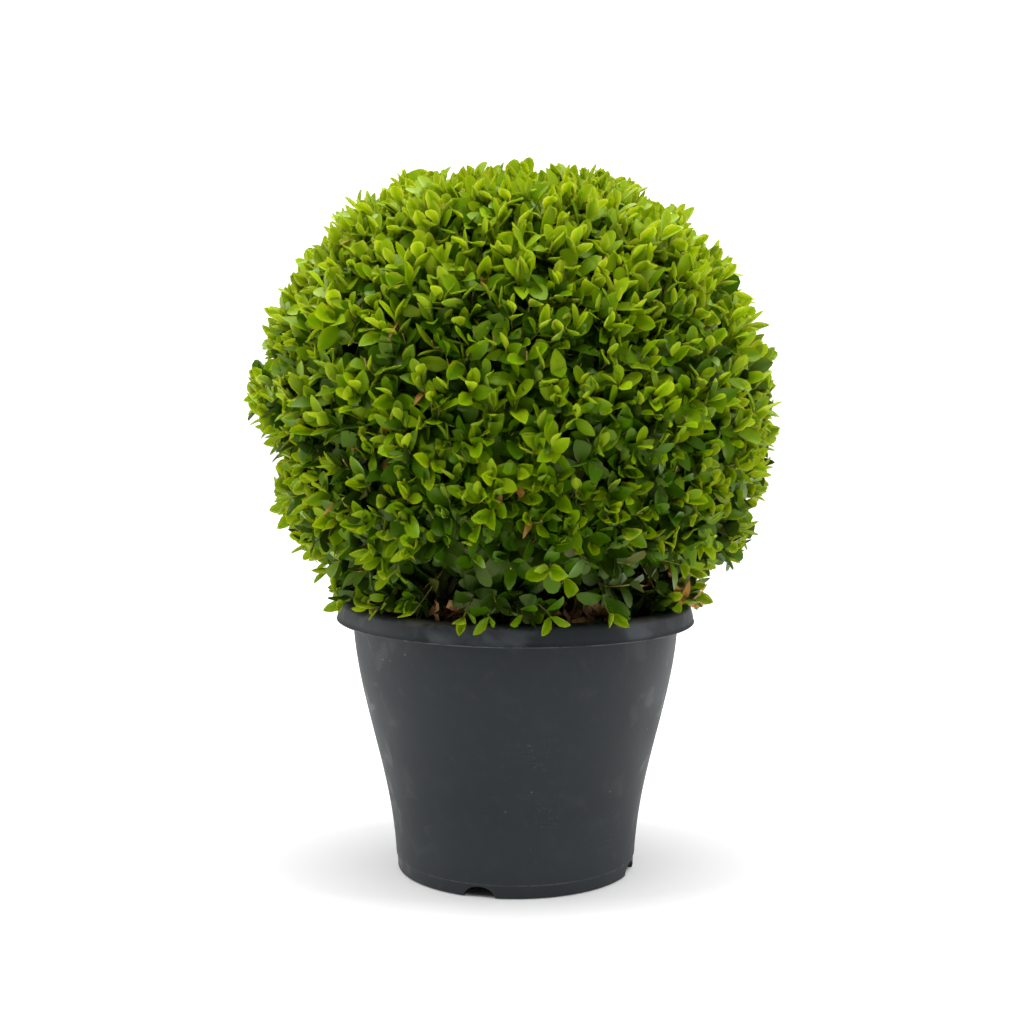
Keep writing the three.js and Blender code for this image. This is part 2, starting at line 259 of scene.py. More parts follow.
# The outline runs from the middle of the floor's underside round the foot ring, up the wall, round
# the rolled rim and down the inside to the floor.
wall_heights = np.linspace(FOOT_BAND + 0.001, SKIRT_FOOT, 34)
outside = [
    (0, FLOOR_UNDERSIDE),
    (RING_INSIDE - INNER_EDGE, FLOOR_UNDERSIDE),
    *arc(RING_INSIDE - INNER_EDGE, FLOOR_UNDERSIDE - INNER_EDGE, INNER_EDGE, 60, 0, 2),
    (RING_INSIDE, 0.0006),
    (RING_INSIDE + 0.0006, 0),
    (FOOT_RADIUS - BAND_INSET - OUTER_EDGE, 0),
    *arc(FOOT_RADIUS - BAND_INSET - OUTER_EDGE, OUTER_EDGE, OUTER_EDGE, -60, 0, 3),
    (wall_radius(FOOT_BAND) - BAND_INSET, FOOT_BAND - 0.0012),
    (wall_radius(FOOT_BAND) - 0.0001, FOOT_BAND),
    *[(wall_radius(z), z) for z in wall_heights],
    (WALL_TOP_RADIUS, POT_HEIGHT - 0.0055),
    (WALL_TOP_RADIUS + 0.001, POT_HEIGHT - 0.0045),
    (RIM_RADIUS - WALL - SKIRT_LEAN - 0.0022, POT_HEIGHT - 0.0045),
    (RIM_RADIUS - WALL - SKIRT_LEAN - 0.0008, POT_HEIGHT - 0.0062),
    (RIM_RADIUS - WALL, SKIRT_FOOT + 0.0004),
    (RIM_RADIUS - WALL + 0.0005, SKIRT_FOOT),
    (RIM_RADIUS - 0.0006, SKIRT_FOOT),
    (RIM_RADIUS - 0.0001, SKIRT_FOOT + 0.0004),
    (RIM_RADIUS - 0.0007, SKIRT_FOOT + 0.0011),
    (RIM_RADIUS - 0.0011, SKIRT_FOOT + 0.0045),
    *arc(RIM_RADIUS - SKIRT_LEAN - RIM_ROLL - 0.0006, POT_HEIGHT - RIM_ROLL, RIM_ROLL, 8, 90, 9),
    (RIM_RADIUS - 0.0102, POT_HEIGHT - 0.0001),
    *arc(WALL_TOP_RADIUS + 0.0008, POT_HEIGHT - LIP_ROLL, LIP_ROLL, 90, 180, 5),
]
inside = [(wall_radius(z) - WALL, z) for z in wall_heights[::-1]]
floor = [(FOOT_RADIUS - 0.003, FLOOR_TOP + 0.003), (FOOT_RADIUS - 0.006, FLOOR_TOP), (0, FLOOR_TOP)]
pot = turned("nursery_pot", outside + inside + floor, POT_SEGMENTS)


def rim_lift(x, height):
    """How far the rim has warped up at one side: the plastic is soft and the rim sits askew."""
    share = np.clip((height - WARP_FROM) / (WARP_TO - WARP_FROM), 0, 1)
    return share * share * (3 - 2 * share) * (RIM_RAISED - RIM_ASKEW * x / RIM_RADIUS)


# The wall is never quite round: it is drawn in by a fraction of a millimetre as it cools.
for vertex in pot.data.vertices:
    vertex.co.z += rim_lift(vertex.co.x, vertex.co.z)
    turn = math.atan2(vertex.co.y, vertex.co.x)
    pull = 1 - 0.0011 * (1 + math.sin(2 * turn + 0.7)) - 0.0006 * (1 + math.sin(5 * turn + 2.0))
    vertex.co.x *= pull
    vertex.co.y *= pull


def arch_cutter(turn):
    """A bar with a half-round top that cuts one notch through the foot ring and the wall."""
    rise = np.radians(np.linspace(0, 180, 17))
    outline = [(NOTCH_HALF_WIDTH * math.cos(t), NOTCH_HEIGHT * math.sin(t)) for t in rise]
    below = -0.002
    outline = [(NOTCH_HALF_WIDTH, below), *outline, (-NOTCH_HALF_WIDTH, below)]
    near, far = RING_INSIDE - 0.004, FOOT_RADIUS + 0.006
    verts = [(depth, across, height) for depth in (near, far) for across, height in outline]
    count = len(outline)
    faces = [tuple(range(count))[::-1], tuple(range(count, 2 * count))]
    faces += [(i, (i + 1) % count, count + (i + 1) % count, count + i) for i in range(count)]
    mesh = bpy.data.meshes.new("arch")
    mesh.from_pydata(verts, [], faces)
    mesh.transform(Matrix.Rotation(turn, 4, "Z"))
    return stand("arch", mesh)


def drain_cutter(turn):
    """A round bar that drills one hole through the floor behind a notch."""
    low, high = FLOOR_UNDERSIDE - 0.004, FLOOR_TOP + 0.004
    drill = turned("drain", [(0, low), (DRAIN_RADIUS, low), (DRAIN_RADIUS, high), (0, high)], 32)
    drill.data.transform(Matrix.Rotation(turn, 4, "Z") @ Matrix.Translation((DRAIN_AT, 0, 0)))
    return drill


cutters = []
for i in range(NOTCHES):
    at = FIRST_NOTCH + i * 2 * math.pi / NOTCHES
    cutters += [arch_cutter(at), drain_cutter(at)]
for cutter in cutters:
    cut = pot.modifiers.new("drainage", "BOOLEAN")
    cut.operation = "DIFFERENCE"
    cut.solver = "EXACT"
    cut.object = cutter
settled(pot)
for cutter in cutters:
    bpy.data.objects.remove(cutter)
smooth(pot)

plastic = Finish("dark_pot_plastic", Specular_IOR_Level=0.27)
level = plastic.axis(2)
mottle = plastic.spots(16, 4.0, 0.35, 0.7)
haze = plastic.spots(5.5, 3.0, 0.4, 0.75)
grime = plastic.spots(110, 5.0, 0.52, 0.74, Roughness=0.7)
inner_rim = plastic.ramp(level, POT_HEIGHT - 0.0035, POT_HEIGHT + 0.001)
soil_patch = plastic.spots(34, 4.0, 0.46, 0.6, Roughness=0.65) * inner_rim
grime = grime * 0.05 + soil_patch * 0.55
speck = plastic.node("ShaderNodeTexVoronoi", {"Vector": plastic.place, "Scale": 95.0})
speck = (speck < 0.06) * plastic.spots(31, 1.0, 0.52, 0.6)


def scuffs(turn, stretch, seed, coverage):
    """Hair-thin scratches: a narrow band of a stretched noise, showing only in a few patches."""
    sockets = {0: plastic.place, 1: (seed, seed, seed), 2: turn, 3: stretch}
    along = plastic.node("ShaderNodeMapping", sockets)
    line = abs(plastic.cloud(1.0, 0.6, Vector=along) - 0.5) < 0.0025
    return line * plastic.spots(14, 1.0, coverage, coverage + 0.03, Distortion=0.4)


def edge_highlight(height):
    """A painted highlight: a pale line less than a millimetre wide, broken here and there."""
    return (abs(level - height) < 0.0006) * broken


scratch = scuffs((0.5, 0.3, 0.2), (170, 170, 9), 3.1, 0.655)
scratch = scratch + scuffs((-0.2, 0.9, 0.0), (15, 60, 210), 7.7, 0.64)
broken = plastic.spots(62, 4.0, 0.34, 0.64, Roughness=0.75)
skirt_edge = SKIRT_FOOT + RIM_RAISED + 0.0003 - plastic.axis(0) * (RIM_ASKEW / RIM_RADIUS)
# Painted highlights: a broken pale line where the flash line at the skirt's edge catches the light,
# and a fainter one at the foot band.
edge_highlights = edge_highlight(skirt_edge) * 0.5 + edge_highlight(FOOT_BAND - 0.0006) * 0.3
skirt = plastic.ramp(level, SKIRT_FOOT + 0.001, SKIRT_FOOT + 0.004)
# Painted sheen: pale patches on the skirt that stand for soft reflections on it.
painted_sheen = plastic.spots(21, 4.0, 0.50, 0.66, Distortion=0.5) * skirt
# Painted bounce light: the wall turns lighter towards its foot, as if lit from the white floor.
painted_bounce_light = plastic.ramp(level, 0.075, 0.0) * 0.27
worn = mottle * 0.45 + haze * 0.35, PLASTIC_WORN
# Painted light: the sheen patches, a slight lift over the whole skirt as if lit from above, and the
# lighter foot.
painted_light_coat = painted_sheen * 0.85 + skirt * 0.08 + painted_bounce_light, PAINTED_LIGHT_GREY
# Scratches and dust specks are the plastic's own marks; the edge lines in this coat are painted
# highlights.
marks_and_highlights = scratch * 0.22 + speck * 0.6 + edge_highlights, SCUFF_AND_HIGHLIGHT_GREY
plastic.coats("Base Color", PLASTIC, worn, painted_light_coat, (grime, DUST), marks_and_highlights)
rubbed = plastic.spots(48, 2.0, 0.55, 0.72, Distortion=0.6)
plastic.set("Roughness", 0.50 + 0.10 * mottle + 0.25 * grime + 0.15 * scratch - 0.12 * rubbed)
grain = plastic.cloud(900)
sink_marks = plastic.cloud(42)
plastic.emboss(grain * 0.06 + sink_marks * 0.6 - scratch * 0.25, 0.35, 0.0006)
part(pot, "pot", plastic.material, "pot")

# ---- Compost -------------------------------------------------------------------------------------
# Dark bark and peat compost fills the pot to a finger below its rim. Its surface is lumpy, with
# crumbs of bark pressed into it, and it rises a little to the foot of the stem.

_, compost_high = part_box("compost")
COMPOST_TOP = compost_high[2]
COMPOST_EDGE = COMPOST_TOP - 0.0045
COMPOST_DEPTH = 0.030
COMPOST_RINGS = 46
COMPOST_SEGMENTS = 150
MOUND_HEIGHT = 0.0035
MOUND_RADIUS = 0.07


def mound(radius):
    """How far the compost rises towards the foot of the stem."""
    return MOUND_HEIGHT * np.maximum(0, 1 - radius / MOUND_RADIUS)


edge_radius = wall_radius(COMPOST_EDGE) - WALL - 0.0004
fill_foot = COMPOST_TOP - COMPOST_DEPTH
foot_radius = wall_radius(fill_foot) - WALL - 0.0012
surface = [(edge_radius * s, COMPOST_EDGE) for s in np.linspace(1, 0, COMPOST_RINGS)]
fill_outline = [(0, fill_foot), (foot_radius, fill_foot), *surface]
compost = turned("compost_fill", fill_outline, COMPOST_SEGMENTS)
for vertex in compost.data.vertices:
    radius = math.hypot(vertex.co.x, vertex.co.y)
    if vertex.co.z > fill_foot + 0.001 and radius < edge_radius - 0.0005:
        crumbs = noise.fractal(vertex.co * 160, 0.9, 2.1, 5) * 0.0016
        lumps = noise.noise(vertex.co * 34) * 0.0022
        vertex.co.z = min(COMPOST_EDGE + crumbs + lumps + mound(radius), COMPOST_TOP + 0.002)
smooth(compost, 60)

soil = Finish("moist_compost")
lump = soil.spots(210, 5.0, 0.35, 0.7)
fibre = soil.spots(620, 3.0, 0.55, 0.72)
crumbly = (lump, (0.032, 0.019, 0.010)), (fibre * 0.5, (0.075, 0.045, 0.022))
soil.coats("Base Color", (0.008, 0.005, 0.003), *crumbly)
soil.set("Roughness", 0.95 - 0.2 * fibre)
soil.emboss(lump * 0.7 + fibre * 0.3, 0.8, 0.0015)
part(compost, "compost", soil.material, "compost")

# Crumbs of bark, curled brown leaves that fell from the plant, and a few bare bits of twig lie on
# the compost. They are flat shapes of a few faces, put down one by one at seeded places.

CRUMBS = 900
CHIP_SHAPES = 5
FALLEN_LEAVES = 185
DRIFTED_LEAVES = 84
DRIFT_TURNS = (-122, -42)
DRIFT_RADII = (0.088, 0.118)
LITTER_REACH = 0.116
GOLDEN_ANGLE = math.pi * (3 - math.sqrt(5))
UP = np.array([0.0, 0.0, 1.0])
rng = np.random.default_rng(11)


def unit(vectors):
    """The same directions, one unit long."""
    return vectors / np.linalg.norm(vectors, axis=-1, keepdims=True)


def node_tree(name, **sockets):
    """An empty geometry tree with named inputs: (tree, its graph, its inputs as signals)."""
    tree = bpy.data.node_groups.new(name, "GeometryNodeTree")
    for label, kind in sockets.items():
        tree.interface.new_socket(label, in_out="INPUT", socket_type="NodeSocket" + kind)
    tree.interface.new_socket("Mesh", in_out="OUTPUT", socket_type="NodeSocketGeometry")
    graph = Graph(tree)
    entry = tree.nodes.new("NodeGroupInput")
    return tree, graph, {label: Signal(graph, entry.outputs[label]) for label in sockets}


def painted(graph, mesh, material, where=True):
    """The mesh with a material on the faces where the selection holds."""
    inputs = {"Geometry": mesh, "Material": material, "Selection": where}
    return graph.node("GeometryNodeSetMaterial", inputs)


def leave(tree, graph, mesh):
    """Makes a mesh the tree's output."""
    graph.feed(tree.nodes.new("NodeGroupOutput").inputs["Mesh"], mesh)
    return tree


POINT_FACTS = {
    "along": "FLOAT_VECTOR",
    "facing": "FLOAT_VECTOR",
    "size": "FLOAT_VECTOR",
    "shape": "INT",
    "radius": "FLOAT",
    "underside": "BOOLEAN",
}


def attribute(graph, name):
    kind = POINT_FACTS[name]
    return graph.node("GeometryNodeInputNamedAttribute", {"Name": name}, data_type=kind)


def placing_tree():
    """One of a few shapes at each point: +Y lies along "along" and +Z leans to "facing"."""
    kinds = {"Points": "Geometry", "Shapes": "Collection", "Upper": "Material", "Under": "Material"}
    tree, graph, given = node_tree("placed_shapes", **kinds)
    axes = {
        "Primary Axis": attribute(graph, "along"),
        "Secondary Axis": attribute(graph, "facing"),
    }
    turned_to = graph.node("FunctionNodeAxesToRotation", axes, primary_axis="Y", secondary_axis="Z")
    shapes = {"Collection": given["Shapes"], "Separate Children": True, "Reset Children": True}
    placing = {
        "Points": given["Points"],
        "Instance": graph.node("GeometryNodeCollectionInfo", shapes),
        "Pick Instance": True,
        "Instance Index": attribute(graph, "shape"),
        "Rotation": turned_to,
        "Scale": attribute(graph, "size"),
    }
    mesh = graph.node("GeometryNodeInstanceOnPoints", placing)
    mesh = graph.node("GeometryNodeRealizeInstances", {"Geometry": mesh})
    mesh = painted(graph, mesh, given["Upper"])
    below = attribute(graph, "underside")
    return leave(tree, graph, painted(graph, mesh, given["Under"], below))


def run_tree(piece, tree, **values):
    """Runs a node tree on a piece with its named inputs set, and keeps the plain mesh."""
    modifier = piece.modifiers.new(tree.name, "NODES")
    modifier.node_group = tree
    for item in tree.interface.items_tree:
        if item.name in values:
            modifier[item.identifier] = values[item.name]
    settled(piece)
    for name in [a.name for a in piece.data.attributes if a.name in POINT_FACTS]:
        piece.data.attributes.remove(piece.data.attributes[name])
    return piece


def points_mesh(name, points, edges=(), **facts):
    """A mesh of points and edges whose points carry the given facts."""
    mesh = bpy.data.meshes.new(name)
    mesh.from_pydata(np.asarray(points).tolist(), list(edges), [])
    for label, values in facts.items():
        made = mesh.attributes.new(label, POINT_FACTS[label], "POINT")
        word = "vector" if POINT_FACTS[label] == "FLOAT_VECTOR" else "value"
        made.data.foreach_set(word, np.ravel(values))
    return stand(name, mesh)


def shape_set(name, meshes):
    """A collection of shapes, which keeps their order by name."""
    group = bpy.data.collections.new(name)
    for i, mesh in enumerate(meshes):
        group.objects.link(bpy.data.objects.new(f"{name}_{i:02d}", mesh))
    return group


PLACING = placing_tree()


def scattered(name, at, along, facing, sizes, shape, **sources):
    """A piece with one of the shapes at each place."""
    facts = {"along": along, "facing": facing, "size": sizes, "shape": shape}
    return run_tree(points_mesh(name, at, **facts), PLACING, **sources)


PLAIN_ROWS = ((0.2, 0.62), (0.52, 1.0), (0.84, 0.74))
LEAF_THICKNESS = 0.022


def blade(width, fold, curl, cup=0.0, rows=PLAIN_ROWS, tip=1.0, skew=0.0):
    """A leaf of unit length along +Y, its upper side to +Z: two layers that meet at the rim.
    fold raises its halves into a V, curl bends its tip down and cup rounds its halves. Each row
    is (distance from the root, share of the width)."""

    def bend(x, y, lift):
        angle = curl * y
        flat = y if abs(curl) < 1e-6 else math.sin(angle) / curl
        drop = 0 if abs(curl) < 1e-6 else (math.cos(angle) - 1) / curl
        return (x + skew * y * y, flat - lift * math.sin(angle) * 0.5, drop + lift)

    verts = [bend(0, 0, 0)]
    for y, share in rows:
        half = width / 2 * share
        lift = half * fold - cup * half
        verts += [bend(-half, y, lift), bend(0, y, 0), bend(half, y, lift)]
        verts.append(bend(0, y, -LEAF_THICKNESS))
    verts.append(bend(0, tip, 0))
    last = len(verts) - 1
    upper = [(0, 2, 1), (0, 3, 2)]
    under = [(0, 1, 4), (0, 4, 3)]
    for i in range(len(rows) - 1):
        left, mid, right, low = (1 + 4 * i + j for j in range(4))
        upper += [(left, mid, mid + 4, left + 4), (mid, right, right + 4, mid + 4)]
        under += [(left, left + 4, low + 4, low), (low, low + 4, right + 4, right)]
    left, mid, right, low = (last - 4 + j for j in range(4))
    upper += [(left, mid, last), (mid, right, last)]
    under += [(low, left, last), (right, low, last)]
    mesh = bpy.data.meshes.new("blade")
    mesh.from_pydata(verts, [], upper + under)
    mesh.polygons.foreach_set("use_smooth", [True] * len(mesh.polygons))
    below = mesh.attributes.new("underside", "BOOLEAN", "FACE")
    below.data.foreach_set("value", [False] * len(upper) + [True] * len(under))
    rim = {frozenset(e) for f in upper for e in zip(f, f[1:] + f[:1])}
    rim &= {frozenset(e) for f in under for e in zip(f, f[1:] + f[:1])}
    sharp = [frozenset(e.vertices) in rim for e in mesh.edges]
    mesh.attributes.new("sharp_edge", "BOOLEAN", "EDGE").data.foreach_set("value", sharp)
    return mesh


def chip(seed):
    """A crumb of bark: a squashed, uneven box of unit length."""
    uneven = np.random.default_rng(seed)
    corners = [(x, y, z) for x in (-0.5, 0.5) for y in (0, 1) for z in (-0.5, 0.5)]
    corners = np.array(corners) * (0.6, 1, 0.35) + uneven.normal(0, 0.09, (8, 3))
    faces = [(0, 1, 3, 2), (4, 6, 7, 5), (0, 4, 5, 1), (2, 3, 7, 6), (0, 2, 6, 4), (1, 5, 7, 3)]
    mesh = bpy.data.meshes.new("chip")
    mesh.from_pydata(corners.tolist(), [], faces)
    return mesh


def strewn(count, reach_out, inner=0.02):
    """Places on the compost: (x, y, turn), even over the disc."""
    radius = np.sqrt(rng.uniform((inner / reach_out) ** 2, 1, count)) * reach_out
    angle = rng.uniform(0, 2 * np.pi, count)
    return np.stack([radius * np.cos(angle), radius * np.sin(angle), angle], 1)


def lie(count, places, lift, tumble):
    """Roots, lengthways directions and faces of things that lie on the compost at places."""
    heading = rng.uniform(0, 2 * np.pi, count)
    along = np.stack([np.cos(heading), np.sin(heading), rng.normal(0, tumble, count)], 1)
    facing = UP + rng.normal(0, tumble, (count, 3))
    heights = COMPOST_EDGE + mound(np.hypot(*places[:, :2].T))
    roots = np.column_stack([places[:, :2], heights + lift])
    return roots, unit(along), unit(facing)


bark_crumb = Finish("bark_crumb")
pale = bark_crumb.spots(85, 2.0, 0.35, 0.68), (0.105, 0.058, 0.028)
bark_crumb.coats("Base Color", (0.012, 0.007, 0.004), pale)
bark_crumb.set("Roughness", 0.75 + 0.2 * bark_crumb.cloud(900, 3.0))
looks = {"Upper": bark_crumb.material, "Under": bark_crumb.material}
crumb_places = strewn(CRUMBS, LITTER_REACH + 0.001)
roots, along, facing = lie(CRUMBS, crumb_places, 0.0006, 0.45)
lengths = rng.uniform(0.0025, 0.0085, CRUMBS) * rng.uniform(0.6, 1.0, CRUMBS)
sizes = np.column_stack([lengths, lengths, lengths * 0.9])
chips = shape_set("chip_shape", [chip(i) for i in range(CHIP_SHAPES)])
shape = rng.integers(0, CHIP_SHAPES, CRUMBS)
crumbs = scattered("bark_crumbs", roots, along, facing, sizes, shape, Shapes=chips, **looks)
part(crumbs, "compost", None)

dead_leaf = Finish("fallen_leaf")
pale = dead_leaf.spots(48, 2.0, 0.34, 0.66), (0.66, 0.38, 0.15)
blotch = dead_leaf.spots(420, 3.0, 0.5, 0.7)
dead_leaf.coats("Base Color", (0.22, 0.10, 0.032), pale, (blotch * 0.6, (0.040, 0.018, 0.008)))
dead_leaf.set("Roughness", 0.6 + 0.2 * blotch)
looks = {"Upper": dead_leaf.material, "Under": dead_leaf.material}
curled = [
    blade(0.62, 0.9, -2.2, 0.3, skew=0.1),
    blade(0.5, 1.4, 1.6, 0.2, skew=-0.2),
    blade(0.56, 0.2, 2.4, 0.5),
    blade(0.44, 1.8, -1.0, 0.1, skew=0.25),
]
fallen_places = strewn(FALLEN_LEAVES, LITTER_REACH)
drift = np.radians(rng.uniform(*DRIFT_TURNS, DRIFTED_LEAVES))
drift_out = rng.uniform(*DRIFT_RADII, DRIFTED_LEAVES)
fallen_places[-DRIFTED_LEAVES:, 0] = drift_out * np.cos(drift)
fallen_places[-DRIFTED_LEAVES:, 1] = drift_out * np.sin(drift)
lift = np.full(FALLEN_LEAVES, 0.0035)
piled = np.interp(drift_out, [0.088, 0.112], [0.006, 0.020])
lift[-DRIFTED_LEAVES:] += piled * rng.uniform(0.1, 1.0, DRIFTED_LEAVES)
roots, along, facing = lie(FALLEN_LEAVES, fallen_places, lift, 0.4)
lengths = rng.uniform(0.014, 0.025, FALLEN_LEAVES)[:, None]
shape = rng.integers(0, len(curled), FALLEN_LEAVES)
curled = shape_set("curled_leaf", curled)
middles = roots - along * lengths / 2
sizes = lengths * np.ones(3)
fallen = scattered("fallen_leaves", middles, along, facing, sizes, shape, Shapes=curled, **looks)
part(fallen, "compost", None)

# ---- Trunk and boughs ----------------------------------------------------------------------------
# One short stem with a root flare stands in the compost and forks just above the rim into a leader
# and six boughs, which spread out and climb inside the ball. Old box bark is grey-brown and finely
# cracked lengthways, with paler corky ridges.

_, trunk_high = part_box("trunk")
FORK = trunk_high[2]
TRUNK_FOOT = COMPOST_TOP - 0.006
TRUNK_RADIUS = 0.0115
TRUNK_TAPER = 0.12
FLARE = 0.008
FLARE_ROOTS = 5
LEAN = np.array([0.003, -0.002, 0])
LEADER_RADIUS = 0.007
LEADER_TIP_RADIUS = 0.0022
STEM_STEPS = 230
BOUGHS = 6
BOUGH_RADIUS = 0.0056
BOUGH_TIP_RADIUS = 0.0022
BOUGH_STEPS = 110
FIRST_BOUGH = 0.35
STEM_SIDES, STEM_RIDGES = 56, 2.4
BOUGH_SIDES, BOUGH_RIDGES = 22, 1.5
CRACKS_IN_METRE = 75
SWELLS_IN_METRE = 28
# A bough's knee outwards and up from the fork, its bow, its tip outwards and up, and the tip's play.
HIGH_BOUGH = (0.030, 0.022, 0.010, 0.096, 0.362, 0.020)
LOW_BOUGH = (0.044, 0.008, 0.008, 0.125, 0.292, 0.016)
HEAD_CENTRE = np.array([0, 0, 0.361])
HEAD_RADIUS = 0.204
HEAD_FLATTEN = 0.09
LIMB_REACH = 0.74


def chance(k, salt):
    """The plant's own seeded number from 0 to 1 for its k-th bough."""
    swing = math.sin(k * 127.1 + salt * 311.7) * 43758.5453
    return swing - math.floor(swing)


def through(knots, count):
    """A smooth curve through knots, as evenly spaced points."""
    knots = np.array(knots, float)
    knots = np.vstack([2 * knots[0] - knots[1], knots, 2 * knots[-1] - knots[-2]])
    points = []
    for share in np.linspace(0, len(knots) - 3, 20 * count):
        i = min(int(share), len(knots) - 4)
        a, b, c, d = knots[i : i + 4]
        t = share - i
        bow = 2 * a - 5 * b + 4 * c - d + t * (3 * (b - c) + d - a)
        points.append(b + 0.5 * t * (c - a + t * bow))
    points = np.array(points)
    steps = np.linalg.norm(np.diff(points, axis=0), axis=1)
    travelled = np.concatenate([[0], np.cumsum(steps)])
    even = np.linspace(0, travelled[-1], count)
    return np.column_stack([np.interp(even, travelled, points[:, i]) for i in range(3)])


def limb(name, path, radius_at, sides, ridges):
    """A tube along a path, its bark raised in ridges that run lengthways. Closed at both ends."""
    tangents = unit(np.gradient(path, axis=0))
    length = np.linalg.norm(np.diff(path, axis=0), axis=1).sum()
    across = np.array([0.2, 1.0, 0.1])
    rings = []
    for point, tangent, share in zip(path, tangents, np.arange(len(path)) / (len(path) - 1)):
        across = unit(across - tangent * (across @ tangent))
        over = np.cross(tangent, across)
        ring = []
        for angle in [2 * math.pi * j / sides for j in range(sides)]:
            x, y = math.cos(angle), math.sin(angle)
            spot = Vector((x * ridges, y * ridges, share * length * CRACKS_IN_METRE))
            crack = noise.fractal(spot, 0.8, 2.2, 3)
            swell = noise.noise(Vector((x, y, share * length * SWELLS_IN_METRE)))
            radius = radius_at(share, angle) * (1 + 0.11 * crack + 0.10 * swell)
            ring.append(point + radius * (x * across + y * over))
        rings.append(ring)
    return smooth(ringed(name, path[0], rings, path[-1]), 70)


bark = Finish("box_bark")
ridge = bark.spots(260, 5.0, 0.38, 0.68, Roughness=0.65)
weathered = bark.spots(60, 2.0, 0.4, 0.7) * 0.55, (0.13, 0.11, 0.075)
bark.coats("Base Color", (0.040, 0.026, 0.015), (ridge, (0.21, 0.155, 0.10)), weathered)
bark.set("Roughness", 0.9 - 0.15 * ridge)
bark.emboss(ridge, 0.7, 0.0008)

# The stem: the trunk, and the leader that goes on from it.
stem_knots = [
    (0, 0, TRUNK_FOOT),
    (0.0008, -0.0006, COMPOST_TOP + 0.008),
    (LEAN[0], LEAN[1], FORK),
    (LEAN[0], LEAN[1], FORK + 0.014),
    (0.008, 0.002, 0.292),
    (-0.004, 0.005, 0.350),
    (0, 0, 0.3965),
    (0.005, -0.004, 0.450),
    (-0.003, 0.002, 0.505),
]
stem_path = through(stem_knots, STEM_STEPS)
stem_length = np.linalg.norm(np.diff(stem_path, axis=0), axis=1).sum()


def stem_radius(share, angle=0.0):
    """The trunk with its root flare, and the leader into which it narrows."""
    along = share * stem_length / (FORK - TRUNK_FOOT)
    flare = FLARE * max(0, 1 - along * 1.7) ** 2.4
    flare *= 0.75 + 0.45 * math.cos(FLARE_ROOTS * angle + 0.6)
    if along < 1:
        return TRUNK_RADIUS * (1 - TRUNK_TAPER * along) + flare
    neck = math.exp(-(along - 1) * 2.2)
    taper = LEADER_RADIUS + (LEADER_TIP_RADIUS - LEADER_RADIUS) * share
    return taper + (TRUNK_RADIUS * (1 - TRUNK_TAPER) - taper) * neck


def bough_radius(share, angle=0.0):
    """A bough tapers from the collar where it leaves the trunk."""
    collar = 1 + 0.45 * math.exp(-share * 14)
    return collar * (BOUGH_RADIUS + (BOUGH_TIP_RADIUS - BOUGH_RADIUS) * share)


def fork_stretch(path, radius_at, start):
    """The stretch of a limb that finer stems may leave: (points, directions, radii)."""
    stretch = slice(start, None, 4)
    radii = [radius_at(share) for share in np.linspace(0, 1, len(path))]
    return path[stretch], unit(np.gradient(path[stretch], axis=0)), np.array(radii)[stretch]


stem = limb("trunk_and_leader", stem_path, stem_radius, STEM_SIDES, STEM_RIDGES)
part(stem, "bark", bark.material, "trunk", "leader")
limb_stretches = [fork_stretch(stem_path, stem_radius, 60)]

# The boughs leave the trunk's flank in turn, spread out and then climb.
for k in range(BOUGHS):
    knee_out, knee_up, bow, tip_out, tip_up, play = LOW_BOUGH if k % 2 else HIGH_BOUGH
    azimuth = k * 2 * math.pi / BOUGHS + FIRST_BOUGH + 0.25 * chance(k, 5)
    out = np.array([math.cos(azimuth), math.sin(azimuth), 0])
    start = np.array([0.8 * LEAN[0], 0.8 * LEAN[1], FORK - 0.007 - 0.005 * (k % 2)])
    knee = out * knee_out + UP * (FORK + knee_up)
    end = out * tip_out + UP * (tip_up + play * chance(k, 6))
    onward = unit(end - HEAD_CENTRE + UP * 0.02)
    knots = [
        start,
        start + out * 0.013 + UP * 0.003,
        knee,
        (knee + end) / 2 + out * bow,
        end,
        HEAD_CENTRE + onward * LIMB_REACH * HEAD_RADIUS,
    ]
    path = through(knots, BOUGH_STEPS)
    bough = limb(f"bough_{k + 1}_bark", path, bough_radius, BOUGH_SIDES, BOUGH_RIDGES)
    part(bough, "bark", bark.material, f"bough_{k + 1}")
    limb_stretches.append(fork_stretch(path, bough_radius, 18))

# ---- Branches, twigs and shoots ------------------------------------------------------------------
# The boughs' rule goes on at three finer levels: branches, twigs and this year's leafy shoots. Each
# stem leaves the nearest stem that points its way, at an acute angle, and turns up towards the
# light. They all stop within the clipped ball.

LOWEST = (0.215 - HEAD_CENTRE[2]) / HEAD_RADIUS
BRANCHES = 66
TWIGS = 470
SHOOTS = 2120
CROWN_SHOOTS = 170
CROWN_FOOT = 0.35
SKIRT_SPRAYS = 190
SHOOT_DEPTH = 0.0172
CLUMP_DEPTH = 0.009
PROUD_SHARE = 0.05
UPTURN_HEIGHTS = (-0.72, -0.45, -0.1, 0.6, 1.0)
UPTURN = (0.1, 0.6, 1.35, 1.1, 0.4)
WINDOW_BARE = 0.9
RAGGED_BARE = 0.38
SKIRT_OPENINGS = (280, 322), (236, 258)
HANGING_TURNS = (-138, -123, -105, -98, -88, -80, -61, -29, -8, 24, 60, 82, 110, 150, 205)
CLIPPED_SHARE = 0.45
STUB_SHARE = 0.22
BARE_TIP_SHARE = 0.06
# Each skin: its mask, its two colours, its roughness and how that changes with the mask.
TWIG_BARK = (330, 3.0, 0.36, 0.66), (0.10, 0.07, 0.03), (0.30, 0.22, 0.10), 0.8, -0.2
GREEN_BARK = (90, 2.0, 0.38, 0.64), (0.24, 0.28, 0.035), (0.34, 0.25, 0.08), 0.5, 0.15
CUT_WOOD = (200, 2.0, 0.4, 0.65), (0.48, 0.36, 0.10), (0.30, 0.20, 0.06), 0.7, 0.15

